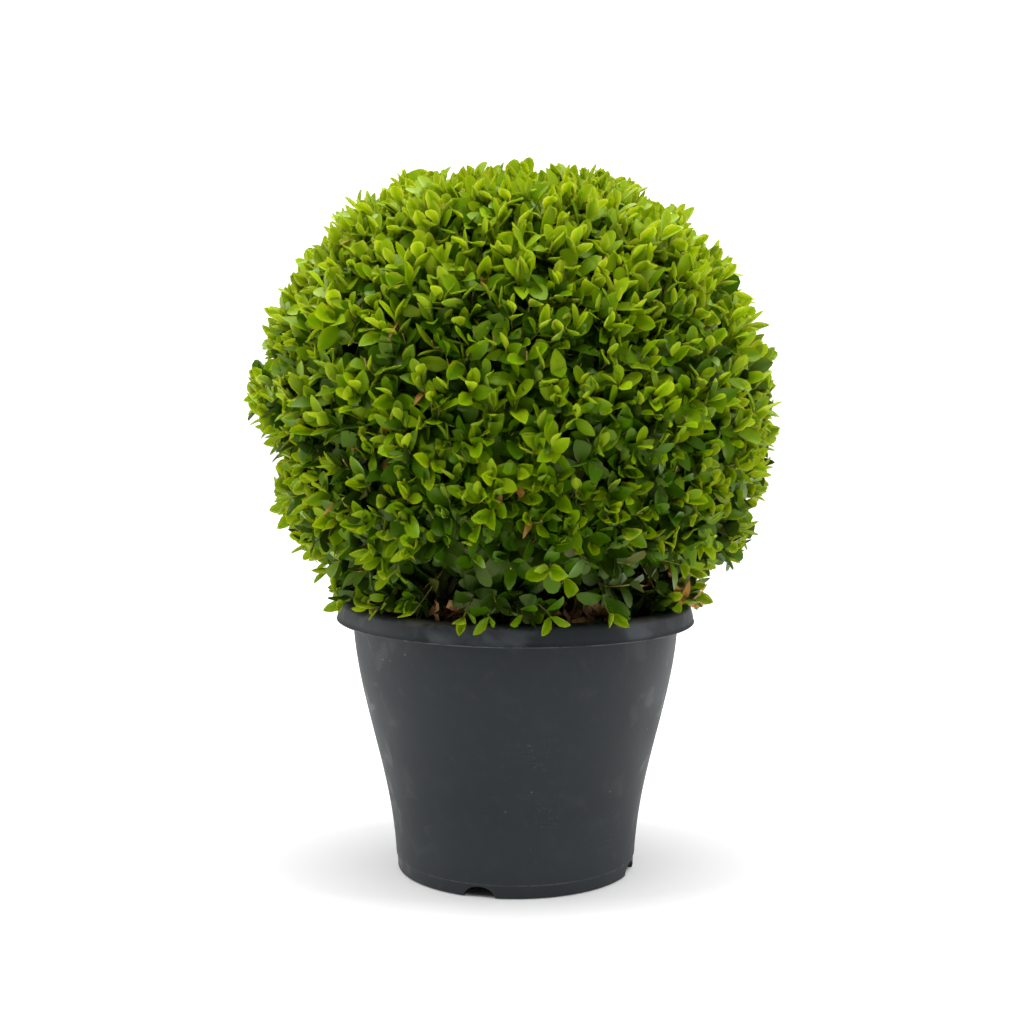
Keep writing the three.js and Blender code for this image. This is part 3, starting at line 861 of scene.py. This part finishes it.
# The last clip left the sides a little uneven: at each height, how far they stand out beyond the
# even ball on the left and on the right.
CLIP_HEIGHTS = (0.222, 0.245, 0.268, 0.292, 0.317, 0.337, 0.370, 0.400, 0.437, 0.468, 0.503, 0.540)
CLIP_LEFT = np.array([-15, 0, -3, 3, -16, -10, 7, -5, 8, -7, 3, 1]) / 1000
CLIP_RIGHT = np.array([-10, 13, 10, 1, 1, -3, 9, -2, -4, -4, -7, -5]) / 1000
SIDE_SPREAD = math.radians(38)


def reach(directions):
    """How far the clipped surface is from the ball's middle: a ball with a slightly flat crown."""
    even = HEAD_RADIUS * (1 - HEAD_FLATTEN * np.maximum(0, directions[:, 2]) ** 12)
    height = HEAD_CENTRE[2] + even * directions[:, 2]
    turn = np.arctan2(directions[:, 1], directions[:, 0])
    right = np.exp(-((turn / SIDE_SPREAD) ** 2)) * np.interp(height, CLIP_HEIGHTS, CLIP_RIGHT)
    left = np.exp(-(((math.pi - abs(turn)) / SIDE_SPREAD) ** 2))
    return even + right + left * np.interp(height, CLIP_HEIGHTS, CLIP_LEFT)


def around(count, lowest=LOWEST, jitter=0.3):
    """Directions from the ball's middle on the golden-angle spiral, each a little off its place."""
    k = np.arange(count) + 0.5
    height = 1 - (1 - lowest) * k / count
    flat = np.sqrt(1 - height**2)
    turn = (k - 0.5) * GOLDEN_ANGLE
    even = np.stack([flat * np.cos(turn), flat * np.sin(turn), height], 1)
    spacing = math.sqrt(2 * math.pi * (1 - lowest) / count)
    return unit(even + rng.normal(0, jitter * spacing, even.shape))


def outwards(turns):
    """Level directions from the stem, at turns in radians."""
    return np.stack([np.cos(turns), np.sin(turns), np.zeros(len(turns))], 1)


def ends_at(directions, distances, clearance):
    """Where stems end: at distances from the ball's middle, and clear of the pot's rim."""
    ends = HEAD_CENTRE + directions * distances[:, None]
    ends[:, 2] = np.maximum(ends[:, 2], POT_HEIGHT + clearance)
    return ends


def some(share, size):
    """True for a random share of an array of this size."""
    return rng.uniform(0, 1, size) < share


def within(turns, *spans):
    """True for the turns that lie in one of the spans, all in degrees."""
    return np.any([(turns > first) & (turns < last) for first, last in spans], axis=0)


def patches(points, scale, seed):
    """A soft pattern of patches from about -1 to 1, the same at the same place."""
    return np.array([noise.noise(Vector(p) * scale + Vector((seed, 0, 0))) for p in points])


def curve_at(stems, share):
    """Points and directions on cubic stems at a share of their length, or one share for each."""
    a, b, c, d = (stems[:, i] for i in range(4))
    t = np.asarray(share).reshape(-1, 1)
    s = 1 - t
    point = s**3 * a + 3 * s * s * t * b + 3 * s * t * t * c + t**3 * d
    heading = s * s * (b - a) + 2 * s * t * (c - b) + t * t * (d - c)
    return point, unit(heading)


def grow(forks, ends, headings):
    """Cubic stems, one to each end, from the fork that lies nearest and points its way."""
    points, tangents, _ = forks
    chosen = []
    for end in ends:
        way = end - points
        far = np.linalg.norm(way, axis=1) + 1e-6
        cosine = (way * tangents).sum(1) / far
        chosen.append((far * (1.45 - cosine)).argmin())
    roots, leaving = points[chosen], tangents[chosen]
    gap = ends - roots
    length = np.linalg.norm(gap, axis=1, keepdims=True)
    away = unit(leaving * 0.75 + gap / length)
    stems = [roots, roots + away * length * 0.36, ends - headings * length * 0.34, ends]
    return np.stack(stems, 1), np.array(chosen)


def merged(*forks):
    """Several sets of forks as one."""
    return tuple(np.concatenate(parts) for parts in zip(*forks))


def fork_points(stems, shares, first, last):
    """Where finer stems may leave these: (points, directions, radii)."""
    radii = [np.full(len(stems), first + (last - first) * share) for share in shares]
    return merged(*[(*curve_at(stems, share), r) for share, r in zip(shares, radii)])


def stem_tree():
    """Round stems along lines, as thick as the lines' "radius"."""
    tree, graph, given = node_tree("round_stems", Lines="Geometry", Sides="Int", Bark="Material")
    ring = {"Resolution": given["Sides"], "Radius": 1.0}
    tubing = {
        "Curve": graph.node("GeometryNodeMeshToCurve", {"Mesh": given["Lines"]}),
        "Profile Curve": graph.node("GeometryNodeCurvePrimitiveCircle", ring),
        "Scale": attribute(graph, "radius"),
        "Fill Caps": True,
    }
    tubes = graph.node("GeometryNodeCurveToMesh", tubing)
    tubes = graph.node("GeometryNodeSetShadeSmooth", {"Geometry": tubes})
    tubes = graph.node("GeometryNodeRealizeInstances", {"Geometry": tubes})
    return leave(tree, graph, painted(graph, tubes, given["Bark"]))


STEMS = stem_tree()


def stems_piece(name, stems, first, last, steps, sides, material):
    """The piece that shows a set of cubic stems, which taper from one radius to another."""
    shares = np.linspace(0, 1, steps)
    points = np.stack([curve_at(stems, share)[0] for share in shares], 1)
    first = np.reshape(first, (-1, 1)) * np.ones((len(stems), 1))
    radii = first + (last - first) * shares[None]
    index = np.arange(len(stems) * steps).reshape(len(stems), steps)
    edges = np.stack([index[:, :-1].ravel(), index[:, 1:].ravel()], 1)
    piece = points_mesh(name, points.reshape(-1, 3), edges.tolist(), radius=radii)
    run_tree(piece, STEMS, Sides=sides, Bark=material)
    return part(piece, "bark", None, "clipped_head")


def two_tone(name, spots, first, second, rough, change):
    """A material whose colour and roughness follow one cloudy mask."""
    finish = Finish(name)
    mask = finish.spots(*spots)
    finish.coats("Base Color", first, (mask, second))
    finish.set("Roughness", rough + change * mask)
    return finish.material


limb_forks = merged(*limb_stretches)
directions = around(BRANCHES, jitter=0.2)
ends = ends_at(directions, reach(directions) * rng.uniform(0.58, 0.72, BRANCHES), 0.030)
branches, chosen = grow(limb_forks, ends, unit(directions + UP * 0.35))
branch_radii = np.minimum(0.0026, limb_forks[2][chosen] * 0.8)
branch_forks = fork_points(branches, np.linspace(0.3, 1, 8), 0.0024, 0.0014)

directions = around(TWIGS, jitter=0.3)
ends = ends_at(directions, reach(directions) * rng.uniform(0.76, 0.87, TWIGS), 0.012)
forks = merged(limb_forks, branch_forks)
twigs, chosen = grow(forks, ends, unit(directions + UP * 0.45 + rng.normal(0, 0.15, (TWIGS, 3))))
twig_radii = np.minimum(0.0013, forks[2][chosen] * 0.8)
twig_forks = fork_points(twigs, np.linspace(0.35, 1, 6), 0.0012, 0.0008)

# Shoots stop in clumps, a few a little proud of the last cut, and thin out over the compost.
directions = np.vstack([around(SHOOTS, jitter=0.33), around(CROWN_SHOOTS, CROWN_FOOT, 0.4)])
clump = patches(directions, 4.6, 3.0)
bare = patches(directions, 6.0, 9.0)
turn = np.degrees(np.arctan2(directions[:, 1], directions[:, 0]))
up = directions[:, 2]
low_front = (up < -0.52) & within(turn, (-165, -15))
window = (low_front & within(turn, (-80, -40))) | ((up < -0.5) & within(turn, (-123, -102)))
kept = ~(low_front & (bare > 0.16)) & ~(window & some(WINDOW_BARE, len(turn)))
ragged = (up < -0.12) & (up > -0.62) & (abs(turn) > 152)
kept &= ~(ragged & some(RAGGED_BARE, len(turn)))
directions, clump = directions[kept], clump[kept]
count = len(directions)
depth = SHOOT_DEPTH - CLUMP_DEPTH * clump + rng.uniform(-0.004, 0.006, count)
depth -= 0.007 * some(PROUD_SHARE, count)
ends = ends_at(directions, reach(directions) - depth, 0.009)
upturn = np.interp(directions[:, 2], UPTURN_HEIGHTS, UPTURN)
headings = unit(directions + UP * upturn[:, None] + rng.normal(0, 0.30, (count, 3)))

# Some low sprays lean out over the rim and hang just in front of it.
outward = outwards(np.radians(HANGING_TURNS))
hang_ends = outward * rng.uniform(0.135, 0.143, (len(outward), 1)) + UP * (POT_HEIGHT + 0.008)
hang_headings = unit(outward - UP * rng.uniform(0.3, 0.75, (len(outward), 1)))

# One low spray at the right of the rim has withered.
withered_ends = np.array([[0.134, -0.050, POT_HEIGHT + 0.007], [0.124, -0.064, POT_HEIGHT + 0.012]])
withered_headings = unit(np.array([[0.6, -0.5, -0.45], [0.5, -0.8, 0.1]]))

# Short sprays fill the ball's underside, just over the compost and the rim.
turn = rng.uniform(0, 2 * np.pi, SKIRT_SPRAYS)
outward = outwards(turn)
skirt_ends = outward * rng.uniform(0.092, 0.136, (SKIRT_SPRAYS, 1))
skirt_ends += UP * (POT_HEIGHT + rng.uniform(0.003, 0.020, (SKIRT_SPRAYS, 1)))
skirt_headings = unit(outward + UP * rng.uniform(-0.35, 0.35, (SKIRT_SPRAYS, 1)))
closed = ~within(np.degrees(turn), *SKIRT_OPENINGS) | some(0.08, SKIRT_SPRAYS)
first_hanging = len(ends)
ends = np.vstack([ends, hang_ends, withered_ends, skirt_ends[closed]])
headings = np.vstack([headings, hang_headings, withered_headings, skirt_headings[closed]])
hanging = slice(first_hanging, first_hanging + len(hang_ends))
withered = slice(hanging.stop, hanging.stop + len(withered_ends))
directions = unit(ends - HEAD_CENTRE)
forks = merged(branch_forks, twig_forks)
shoots, chosen = grow(forks, ends, headings)
shoot_radii = np.minimum(0.0009, forks[2][chosen] * 0.85)

twig_bark = two_tone("twig_bark", *TWIG_BARK)
stems_piece("branches", branches, branch_radii, 0.0013, 12, 7, twig_bark)
stems_piece("twigs", twigs, twig_radii, 0.0007, 9, 5, twig_bark)
stems_piece("leafy_shoots", shoots, shoot_radii, 0.0005, 6, 4, two_tone("green_shoot", *GREEN_BARK))

# The shears left about half of the shoots without their youngest leaves, and pale stubs on some.
clipped = some(CLIPPED_SHARE, len(shoots))
clipped[first_hanging:] = False
stub_at = np.flatnonzero(clipped & some(STUB_SHARE, len(shoots)))
stub_ends, stub_ways = curve_at(shoots[stub_at], 1.0)
stubs = np.stack([stub_ends + stub_ways * step for step in (-0.004, -0.002, 0.001, 0.003)], 1)
stems_piece("cut_stubs", stubs, 0.0006, 0.00055, 3, 5, two_tone("cut_wood", *CUT_WOOD))

# ---- Leaves --------------------------------------------------------------------------------------
# Box leaves stand in opposite pairs, each pair a quarter turn from the last. They are small, oval
# and leathery, blunt at the tip, folded a little along the midrib, glossy above and paler below.
# The young pairs at a tip are narrow, upright and yellow-green. Older ones open flat and darken.

PAIR_BACK = np.array([0.0004, 0.0076, 0.0164, 0.0260, 0.0365, 0.0470])
PAIR_OPEN = np.radians([23, 38, 50, 60, 70, 78])
PAIR_LENGTH = np.array([0.0170, 0.0208, 0.0225, 0.0222, 0.0210, 0.0190])
PAIR_AGE = np.array([-0.05, 0.13, 0.37, 0.57, 0.73, 0.86])
PAIR_PULL = np.array([0.0, 0.05, 0.15, 0.3, 0.5, 0.6])
AGE_HEIGHTS = (-0.75, -0.5, -0.2, 0.3, 0.75, 1.0)
AGE_SHIFTS = (0.60, 0.32, 0.22, 0.10, -0.10, -0.19)
WOODY_PAIRS = 9
LONGEST_LEAF = 0.0245
LEAVES_IN_PIECE = 6000
SHADES = (
    # name, upper side, under side, roughness, gloss, blue in the gloss, oldest age of its leaves
    ("lime", (0.214, 0.346, 0.003), (0.226, 0.330, 0.009), 0.34, 0.30, 0.22, 0.12),
    ("fresh", (0.134, 0.258, 0.002), (0.160, 0.252, 0.009), 0.31, 0.31, 0.24, 0.28),
    ("green", (0.086, 0.188, 0.001), (0.116, 0.194, 0.012), 0.30, 0.35, 0.32, 0.46),
    ("mid", (0.053, 0.134, 0.001), (0.082, 0.150, 0.012), 0.29, 0.40, 0.36, 0.63),
    ("deep", (0.033, 0.090, 0.001), (0.055, 0.102, 0.009), 0.30, 0.34, 0.35, 0.80),
    ("old", (0.026, 0.058, 0.002), (0.048, 0.070, 0.012), 0.34, 0.34, 0.40, 9.0),
    ("bronzed", (0.068, 0.074, 0.009), (0.105, 0.098, 0.036), 0.45, 0.28, 0.50, 9.1),
    ("dry", (0.38, 0.18, 0.035), (0.38, 0.22, 0.07), 0.60, 0.20, 0.50, 9.2),
)
SHADE_NAMES = [shade[0] for shade in SHADES]
THIN_SHADES = ("lime", "fresh", "green")
BRONZED_SHARE = 0.13
DRY_SHARE = 0.006

YOUNG_ROWS = ((0.15, 0.50), (0.42, 0.98), (0.70, 0.82), (0.90, 0.38))
YOUNG_BLUNT_ROWS = ((0.18, 0.45), (0.50, 0.96), (0.76, 0.96), (0.93, 0.56))
OVAL_ROWS = ((0.13, 0.48), (0.40, 0.98), (0.69, 0.88), (0.90, 0.43))
BLUNT_ROWS = ((0.14, 0.42), (0.42, 0.93), (0.72, 0.99), (0.93, 0.58))
leaf_meshes = [
    blade(0.46, 0.45, -0.25, 0.0, YOUNG_ROWS),
    blade(0.50, 0.30, 0.20, 0.0, YOUNG_BLUNT_ROWS, skew=0.05),
    blade(0.50, 0.35, 0.35, 0.0, OVAL_ROWS),
    blade(0.52, 0.20, 0.60, 0.0, OVAL_ROWS, skew=0.06),
    blade(0.48, 0.45, -0.30, 0.0, OVAL_ROWS, skew=-0.07),
    blade(0.56, 0.14, 0.30, 0.1, BLUNT_ROWS, tip=0.985),
    blade(0.46, 0.28, 0.90, 0.0, BLUNT_ROWS, skew=0.07),
    blade(0.52, 0.20, 0.20, 0.1, ((0.2, 0.6), (0.45, 0.98), (0.64, 1.0), (0.70, 0.9)), tip=0.73),
    blade(0.40, 1.3, 1.8, 0.2, OVAL_ROWS, skew=0.15),
]
CLIPPED_SHAPE = 7
SHRIVELLED_SHAPE = 8


def leaf_pairs(stems, back, opening, length, rolls, light_pull):
    """Opposite leaves on stems: back is each pair's distance from the tip, one row for each stem.
    Gives their roots, lengthways directions, faces and lengths, two for every stem and pair."""
    chord = np.linalg.norm(np.diff(stems, axis=1), axis=2).sum(1)
    roots, alongs, facings, sizes = [], [], [], []
    for j in range(back.shape[1]):
        point, heading = curve_at(stems, 1 - np.clip(back[:, j] / chord, 0, 0.96))
        reference = unit(np.cross(heading, UP + np.array([0.01, 0.02, 0])))
        other = np.cross(heading, reference)
        roll = (rolls + j * math.pi / 2 + rng.normal(0, 0.24, len(stems)))[:, None]
        side = reference * np.cos(roll) + other * np.sin(roll)
        for hand in (1, -1):
            open_by = (opening[:, j] + rng.normal(0, 0.13, len(stems)))[:, None]
            along = heading * np.cos(open_by) + hand * side * np.sin(open_by)
            along = along + rng.normal(0, 0.08, along.shape)
            facing = heading * np.sin(open_by) - hand * side * np.cos(open_by)
            light = unit(unit(point - HEAD_CENTRE) * 0.8 + UP * 0.7)
            facing = facing + light * light_pull[:, j, None] + rng.normal(0, 0.27, along.shape)
            roots.append(point)
            alongs.append(unit(along))
            facings.append(unit(facing))
            sizes.append(length[:, j] * rng.uniform(0.86, 1.12, len(stems)))
    return (np.stack(values, 1) for values in (roots, alongs, facings, sizes))


def clear_of_pot(roots, along, lengths):
    """True for leaves that touch neither the pot's rim and wall nor the compost."""
    clear = np.ones(len(roots), bool)
    for share in (0.0, 0.35, 0.7, 1.0):
        spot = roots + along * (lengths * share)[:, None]
        radius = np.hypot(spot[:, 0], spot[:, 1])
        over_rim = (radius > WALL_TOP_RADIUS - 0.005) & (radius < RIM_RADIUS + 0.0012)
        rim_top = POT_HEIGHT + rim_lift(spot[:, 0], POT_HEIGHT) + 0.001
        clear &= ~(over_rim & (spot[:, 2] < rim_top))
        clear &= ~((radius <= WALL_TOP_RADIUS) & (spot[:, 2] < COMPOST_TOP + 0.002))
        clear &= ~((radius >= RIM_RADIUS) & (spot[:, 2] < SKIRT_FOOT - 0.006))
    return clear


# Leaves of the shoots. A clipped shoot has lost its youngest pair, and some leaves of the next
# are cut short. Some of the oldest leaves have dropped, fewest at the crown.
count = len(shoots)
pairs = len(PAIR_BACK)
rolls = rng.uniform(0, math.pi, count)
stretch = rng.uniform(0.85, 1.2, count)
back = PAIR_BACK * stretch[:, None] + rng.normal(0, 0.0006, (count, pairs))
opening = PAIR_OPEN * rng.uniform(0.82, 1.12, (count, 1))
vigour = 1.0 + 0.13 * np.maximum(0, directions[:, 2]) + 0.10 * rng.normal(0, 1, count).clip(-1.5, 1.5)
length = PAIR_LENGTH * vigour[:, None]
opening[hanging] = np.minimum(opening[hanging] * 1.5, 1.45)
length[hanging] *= 1.12
light_pull = np.tile(PAIR_PULL, (count, 1))
light_pull[hanging] += 0.6
roots, along, facing, lengths = leaf_pairs(shoots, back, opening, length, rolls, light_pull)
order = np.tile(np.repeat(np.arange(pairs), 2), (count, 1))
kept = ~(clipped[:, None] & (order < 1))
kept &= (order < 4) | some(0.7 + 0.3 * np.maximum(0, directions[:, 2:]), order.shape)
bare_tip = some(BARE_TIP_SHARE, count)
kept &= ~(bare_tip[:, None] & (order < 3) & some(0.9, order.shape))

# A spray's colour follows how old it is taken to be: younger at the crown and in some clumps, older
# lower down, so sprays are lighter at the crown and darker towards the bottom.
spray_age_and_light = np.interp(directions[:, 2], AGE_HEIGHTS, AGE_SHIFTS)
spray_age_and_light += 0.17 * rng.normal(0, 1, count).clip(-2, 2)
spray_age_and_light -= 0.17 * patches(directions, 3.4, 5.0)
# Painted light: sprays at the sides, most of all low on the left and less on the right, are made
# younger and so lighter, standing in for light from the sides.
left, right = np.maximum(0, -directions[:, 0]), np.maximum(0, directions[:, 0])
spray_age_and_light -= 0.08 * left**2
spray_age_and_light -= 0.01 * right**2
spray_age_and_light -= (0.32 * left + 0.10 * right) * np.maximum(0, -directions[:, 2])
spray_age_and_light[hanging] = rng.uniform(0.36, 0.50, len(hang_ends))
# Painted light: deeper pairs at the crown are made younger and so lighter, standing in for light that
# passes through the leaves into the crown.
crown = 1 - 0.35 * np.maximum(0, directions[:, 2])
age_and_light = PAIR_AGE[order] * crown[:, None] + spray_age_and_light[:, None] + 0.05 * clipped[:, None]
age_and_light += 0.05 * rng.normal(0, 1, age_and_light.shape)
shape = np.where(order < 2, rng.integers(0, 2, order.shape), rng.integers(2, 7, order.shape))
shape = np.where((order == 1) & some(0.5, order.shape), 2, shape)
cut = clipped[:, None] & (order == 1) & some(0.4, order.shape)
shape = np.where(cut, CLIPPED_SHAPE, shape)
sere = np.zeros(age_and_light.shape)
sere[withered] = 1
leaves = [values[kept] for values in (roots, along, facing, lengths, age_and_light, shape, sere)]

# Old leaves stay on the twigs inside, where little light comes.
woody = np.vstack([twigs, branches])
woody_size = (len(woody), WOODY_PAIRS)
back = np.linspace(0.002, 0.060, WOODY_PAIRS) + rng.uniform(0, 0.008, woody_size)
opening = np.radians(rng.uniform(55, 85, woody_size))
length = rng.uniform(0.014, 0.021, woody_size)
rolls = rng.uniform(0, math.pi, len(woody))
inner = leaf_pairs(woody, back, opening, length, rolls, np.full(woody_size, 0.8))
inner = [values.reshape(-1, *values.shape[2:]) for values in inner]
x, y, z = inner[0].T
count = len(z)
# Painted light: the inner leaves are made younger and so lighter towards the crown, standing in for
# light that passes through the leaves.
inner_age_and_light = np.interp((z - HEAD_CENTRE[2]) / HEAD_RADIUS, [0, 0.9], [0, -0.45])
inner_age_and_light = rng.uniform(0.55, 1.05, count) + inner_age_and_light
inner += [inner_age_and_light, rng.integers(2, 7, count), np.zeros(count)]
front_gap = within(np.degrees(np.arctan2(y, x)), (-82, -38), (-124, -101))
front_gap &= (z < POT_HEIGHT + 0.045) & some(0.75, count)
leaves = [np.concatenate([outer, more[~front_gap]]) for outer, more in zip(leaves, inner)]
clear = clear_of_pot(leaves[0], leaves[1], leaves[3])
roots, along, facing, lengths, age_and_light, shape, sere = (values[clear] for values in leaves)
dry = some(DRY_SHARE, len(roots)) | (sere > 0)
low_share = np.interp(roots[:, 2] - HEAD_CENTRE[2], [-0.15, -0.02], [BRONZED_SHARE, 0])
low_share = np.where(np.hypot(roots[:, 0], roots[:, 1]) > 0.118, low_share * 0.4, low_share)
bronzed = (age_and_light > 0.42) & some(low_share, len(roots))
tone = np.searchsorted([shade[-1] for shade in SHADES], age_and_light)
tone = np.where(bronzed, SHADE_NAMES.index("bronzed"), tone)
tone = np.where(dry, SHADE_NAMES.index("dry"), tone)
shape = np.where(dry, SHRIVELLED_SHAPE, shape)
lengths = np.minimum(np.where(dry, lengths * 0.85, lengths), LONGEST_LEAF)

leaf_shapes = shape_set("leaf_shape", leaf_meshes)
for number, (name, upper, under, rough, gloss, blue, _) in enumerate(SHADES):
    shine = {"Specular_IOR_Level": gloss, "Specular_Tint": (0.75 + 0.2 * blue, 0.95, blue)}
    if name in THIN_SHADES:
        shine["Subsurface_Weight"] = 0.35
        shine["Subsurface_Radius"] = (1.0, 1.3, 0.2)
        shine["Subsurface_Scale"] = 0.003
    upper = Finish(f"{name}_leaf", Base_Color=upper, Roughness=rough, **shine)
    shine["Specular_IOR_Level"] *= 0.7
    under = Finish(f"{name}_leaf_back", Base_Color=under, Roughness=0.6, **shine)
    looks = {"Shapes": leaf_shapes, "Upper": upper.material, "Under": under.material}
    index = np.flatnonzero(tone == number)
    batches = np.array_split(index, max(1, math.ceil(len(index) / LEAVES_IN_PIECE)))
    for k, batch in enumerate(batches):
        places = roots[batch], along[batch], facing[batch]
        sizes = lengths[batch, None] * np.ones(3)
        piece = scattered(f"{name}_leaves_{k + 1}", *places, sizes, shape[batch], **looks)
        part(piece, "foliage", None, "clipped_head")

# ---- Studio --------------------------------------------------------------------------------------
# A white floor under one broad overhead light, with a weak panel of light on either side. The floor
# glows: faintly in an oval round the pot, a painted soft shadow of the plant that is a little
# lighter on the right, not at all under the pot's foot, and more strongly further out, until it
# runs out into white. The surroundings are white and light the plant a little too.

PAINTED_SHADOW_START = 0.185
PAINTED_SHADOW_END = 0.345
AIM = (0, 0, 0.3)
glowing_paper = Finish("glowing_studio_paper", Roughness=0.9, Emission_Strength=1.0, Specular_IOR_Level=0.0)
away = glowing_paper.node("ShaderNodeVectorMath", {0: glowing_paper.place}, "Value", operation="LENGTH")
squeezed = glowing_paper.node("ShaderNodeMapping", {0: glowing_paper.place, 1: (0, -0.024, 0), 3: (1, 1.82, 1)})
oval = glowing_paper.node("ShaderNodeVectorMath", {0: squeezed}, "Value", operation="LENGTH")
# Painted shadow: the floor glows least in an oval round the pot, like the plant's soft shadow, a
# little more on the right, and not at all under the pot's foot.
beyond_painted_shadow = glowing_paper.ramp(oval, PAINTED_SHADOW_START, PAINTED_SHADOW_END)
across = glowing_paper.ramp(glowing_paper.axis(0), -0.13, 0.13)
outside_foot = glowing_paper.ramp(away, FOOT_RADIUS - 0.010, FOOT_RADIUS - 0.001)
far_off = glowing_paper.ramp(away, 1.2, 3.2)
glowing_paper.coats("Base Color", (0.80, 0.80, 0.80), (glowing_paper.cloud(3.0), (0.82, 0.82, 0.82)))
painted_shadow_and_glow = (across, (0.165, 0.165, 0.165)), (beyond_painted_shadow, (0.42, 0.42, 0.42)), (far_off, (1.0, 1.0, 1.0))
glowing_paper.coats("Emission Color", (0.135, 0.135, 0.135), *painted_shadow_and_glow, (1 - outside_foot, (0, 0, 0)))
bpy.ops.mesh.primitive_plane_add(size=12)
studio_floor = bpy.context.active_object
studio_floor.name = "studio_floor"
studio_floor.data.transform(Matrix.Translation((0, 0, -0.0003)))
studio_floor.data.materials.append(glowing_paper.material)

world = bpy.data.worlds.new("white_surroundings")
bpy.context.scene.world = world
world.use_nodes = True
sky = Graph(world.node_tree)
seen = sky.node("ShaderNodeLightPath", output="Is Camera Ray")
way = sky.node("ShaderNodeTexCoord", output="Generated")
back_share = sky.node("ShaderNodeSeparateXYZ", {0: way}, 1)
up_share = sky.node("ShaderNodeSeparateXYZ", {0: way}, 2)
ambient = 0.165 + 0.07 * back_share + 0.08 * up_share
background = world.node_tree.nodes["Background"]
sky.feed(background.inputs["Color"], (1.0, 1.0, 1.0))
sky.feed(background.inputs["Strength"], ambient + seen * 1.2)


def soft_light(name, place, size, power):
    """A square lamp that faces the middle of the plant."""
    light = bpy.data.lights.new(name, "AREA")
    light.size = size
    light.energy = power
    lamp = stand(name, light)
    lamp.location = place
    lamp.rotation_euler = (Vector(AIM) - lamp.location).to_track_quat("-Z", "Y").to_euler()


soft_light("overhead", (0.0, 0.0, 1.9), 2.6, 86)
soft_light("left_panel", (-1.7, 0.1, 0.30), 1.1, 10)
soft_light("right_panel", (1.7, 0.1, 0.65), 1.1, 6)

camera = stand("camera", bpy.data.cameras.new("camera"))
camera.data.sensor_width = 36
camera.data.lens = 59.06
camera.location = (-0.00274, -1.315, 0.407)
camera.rotation_euler = (math.radians(90 - 5.443), 0, 0)
bpy.context.scene.camera = camera
bpy.context.scene.view_settings.view_transform = "Standard"
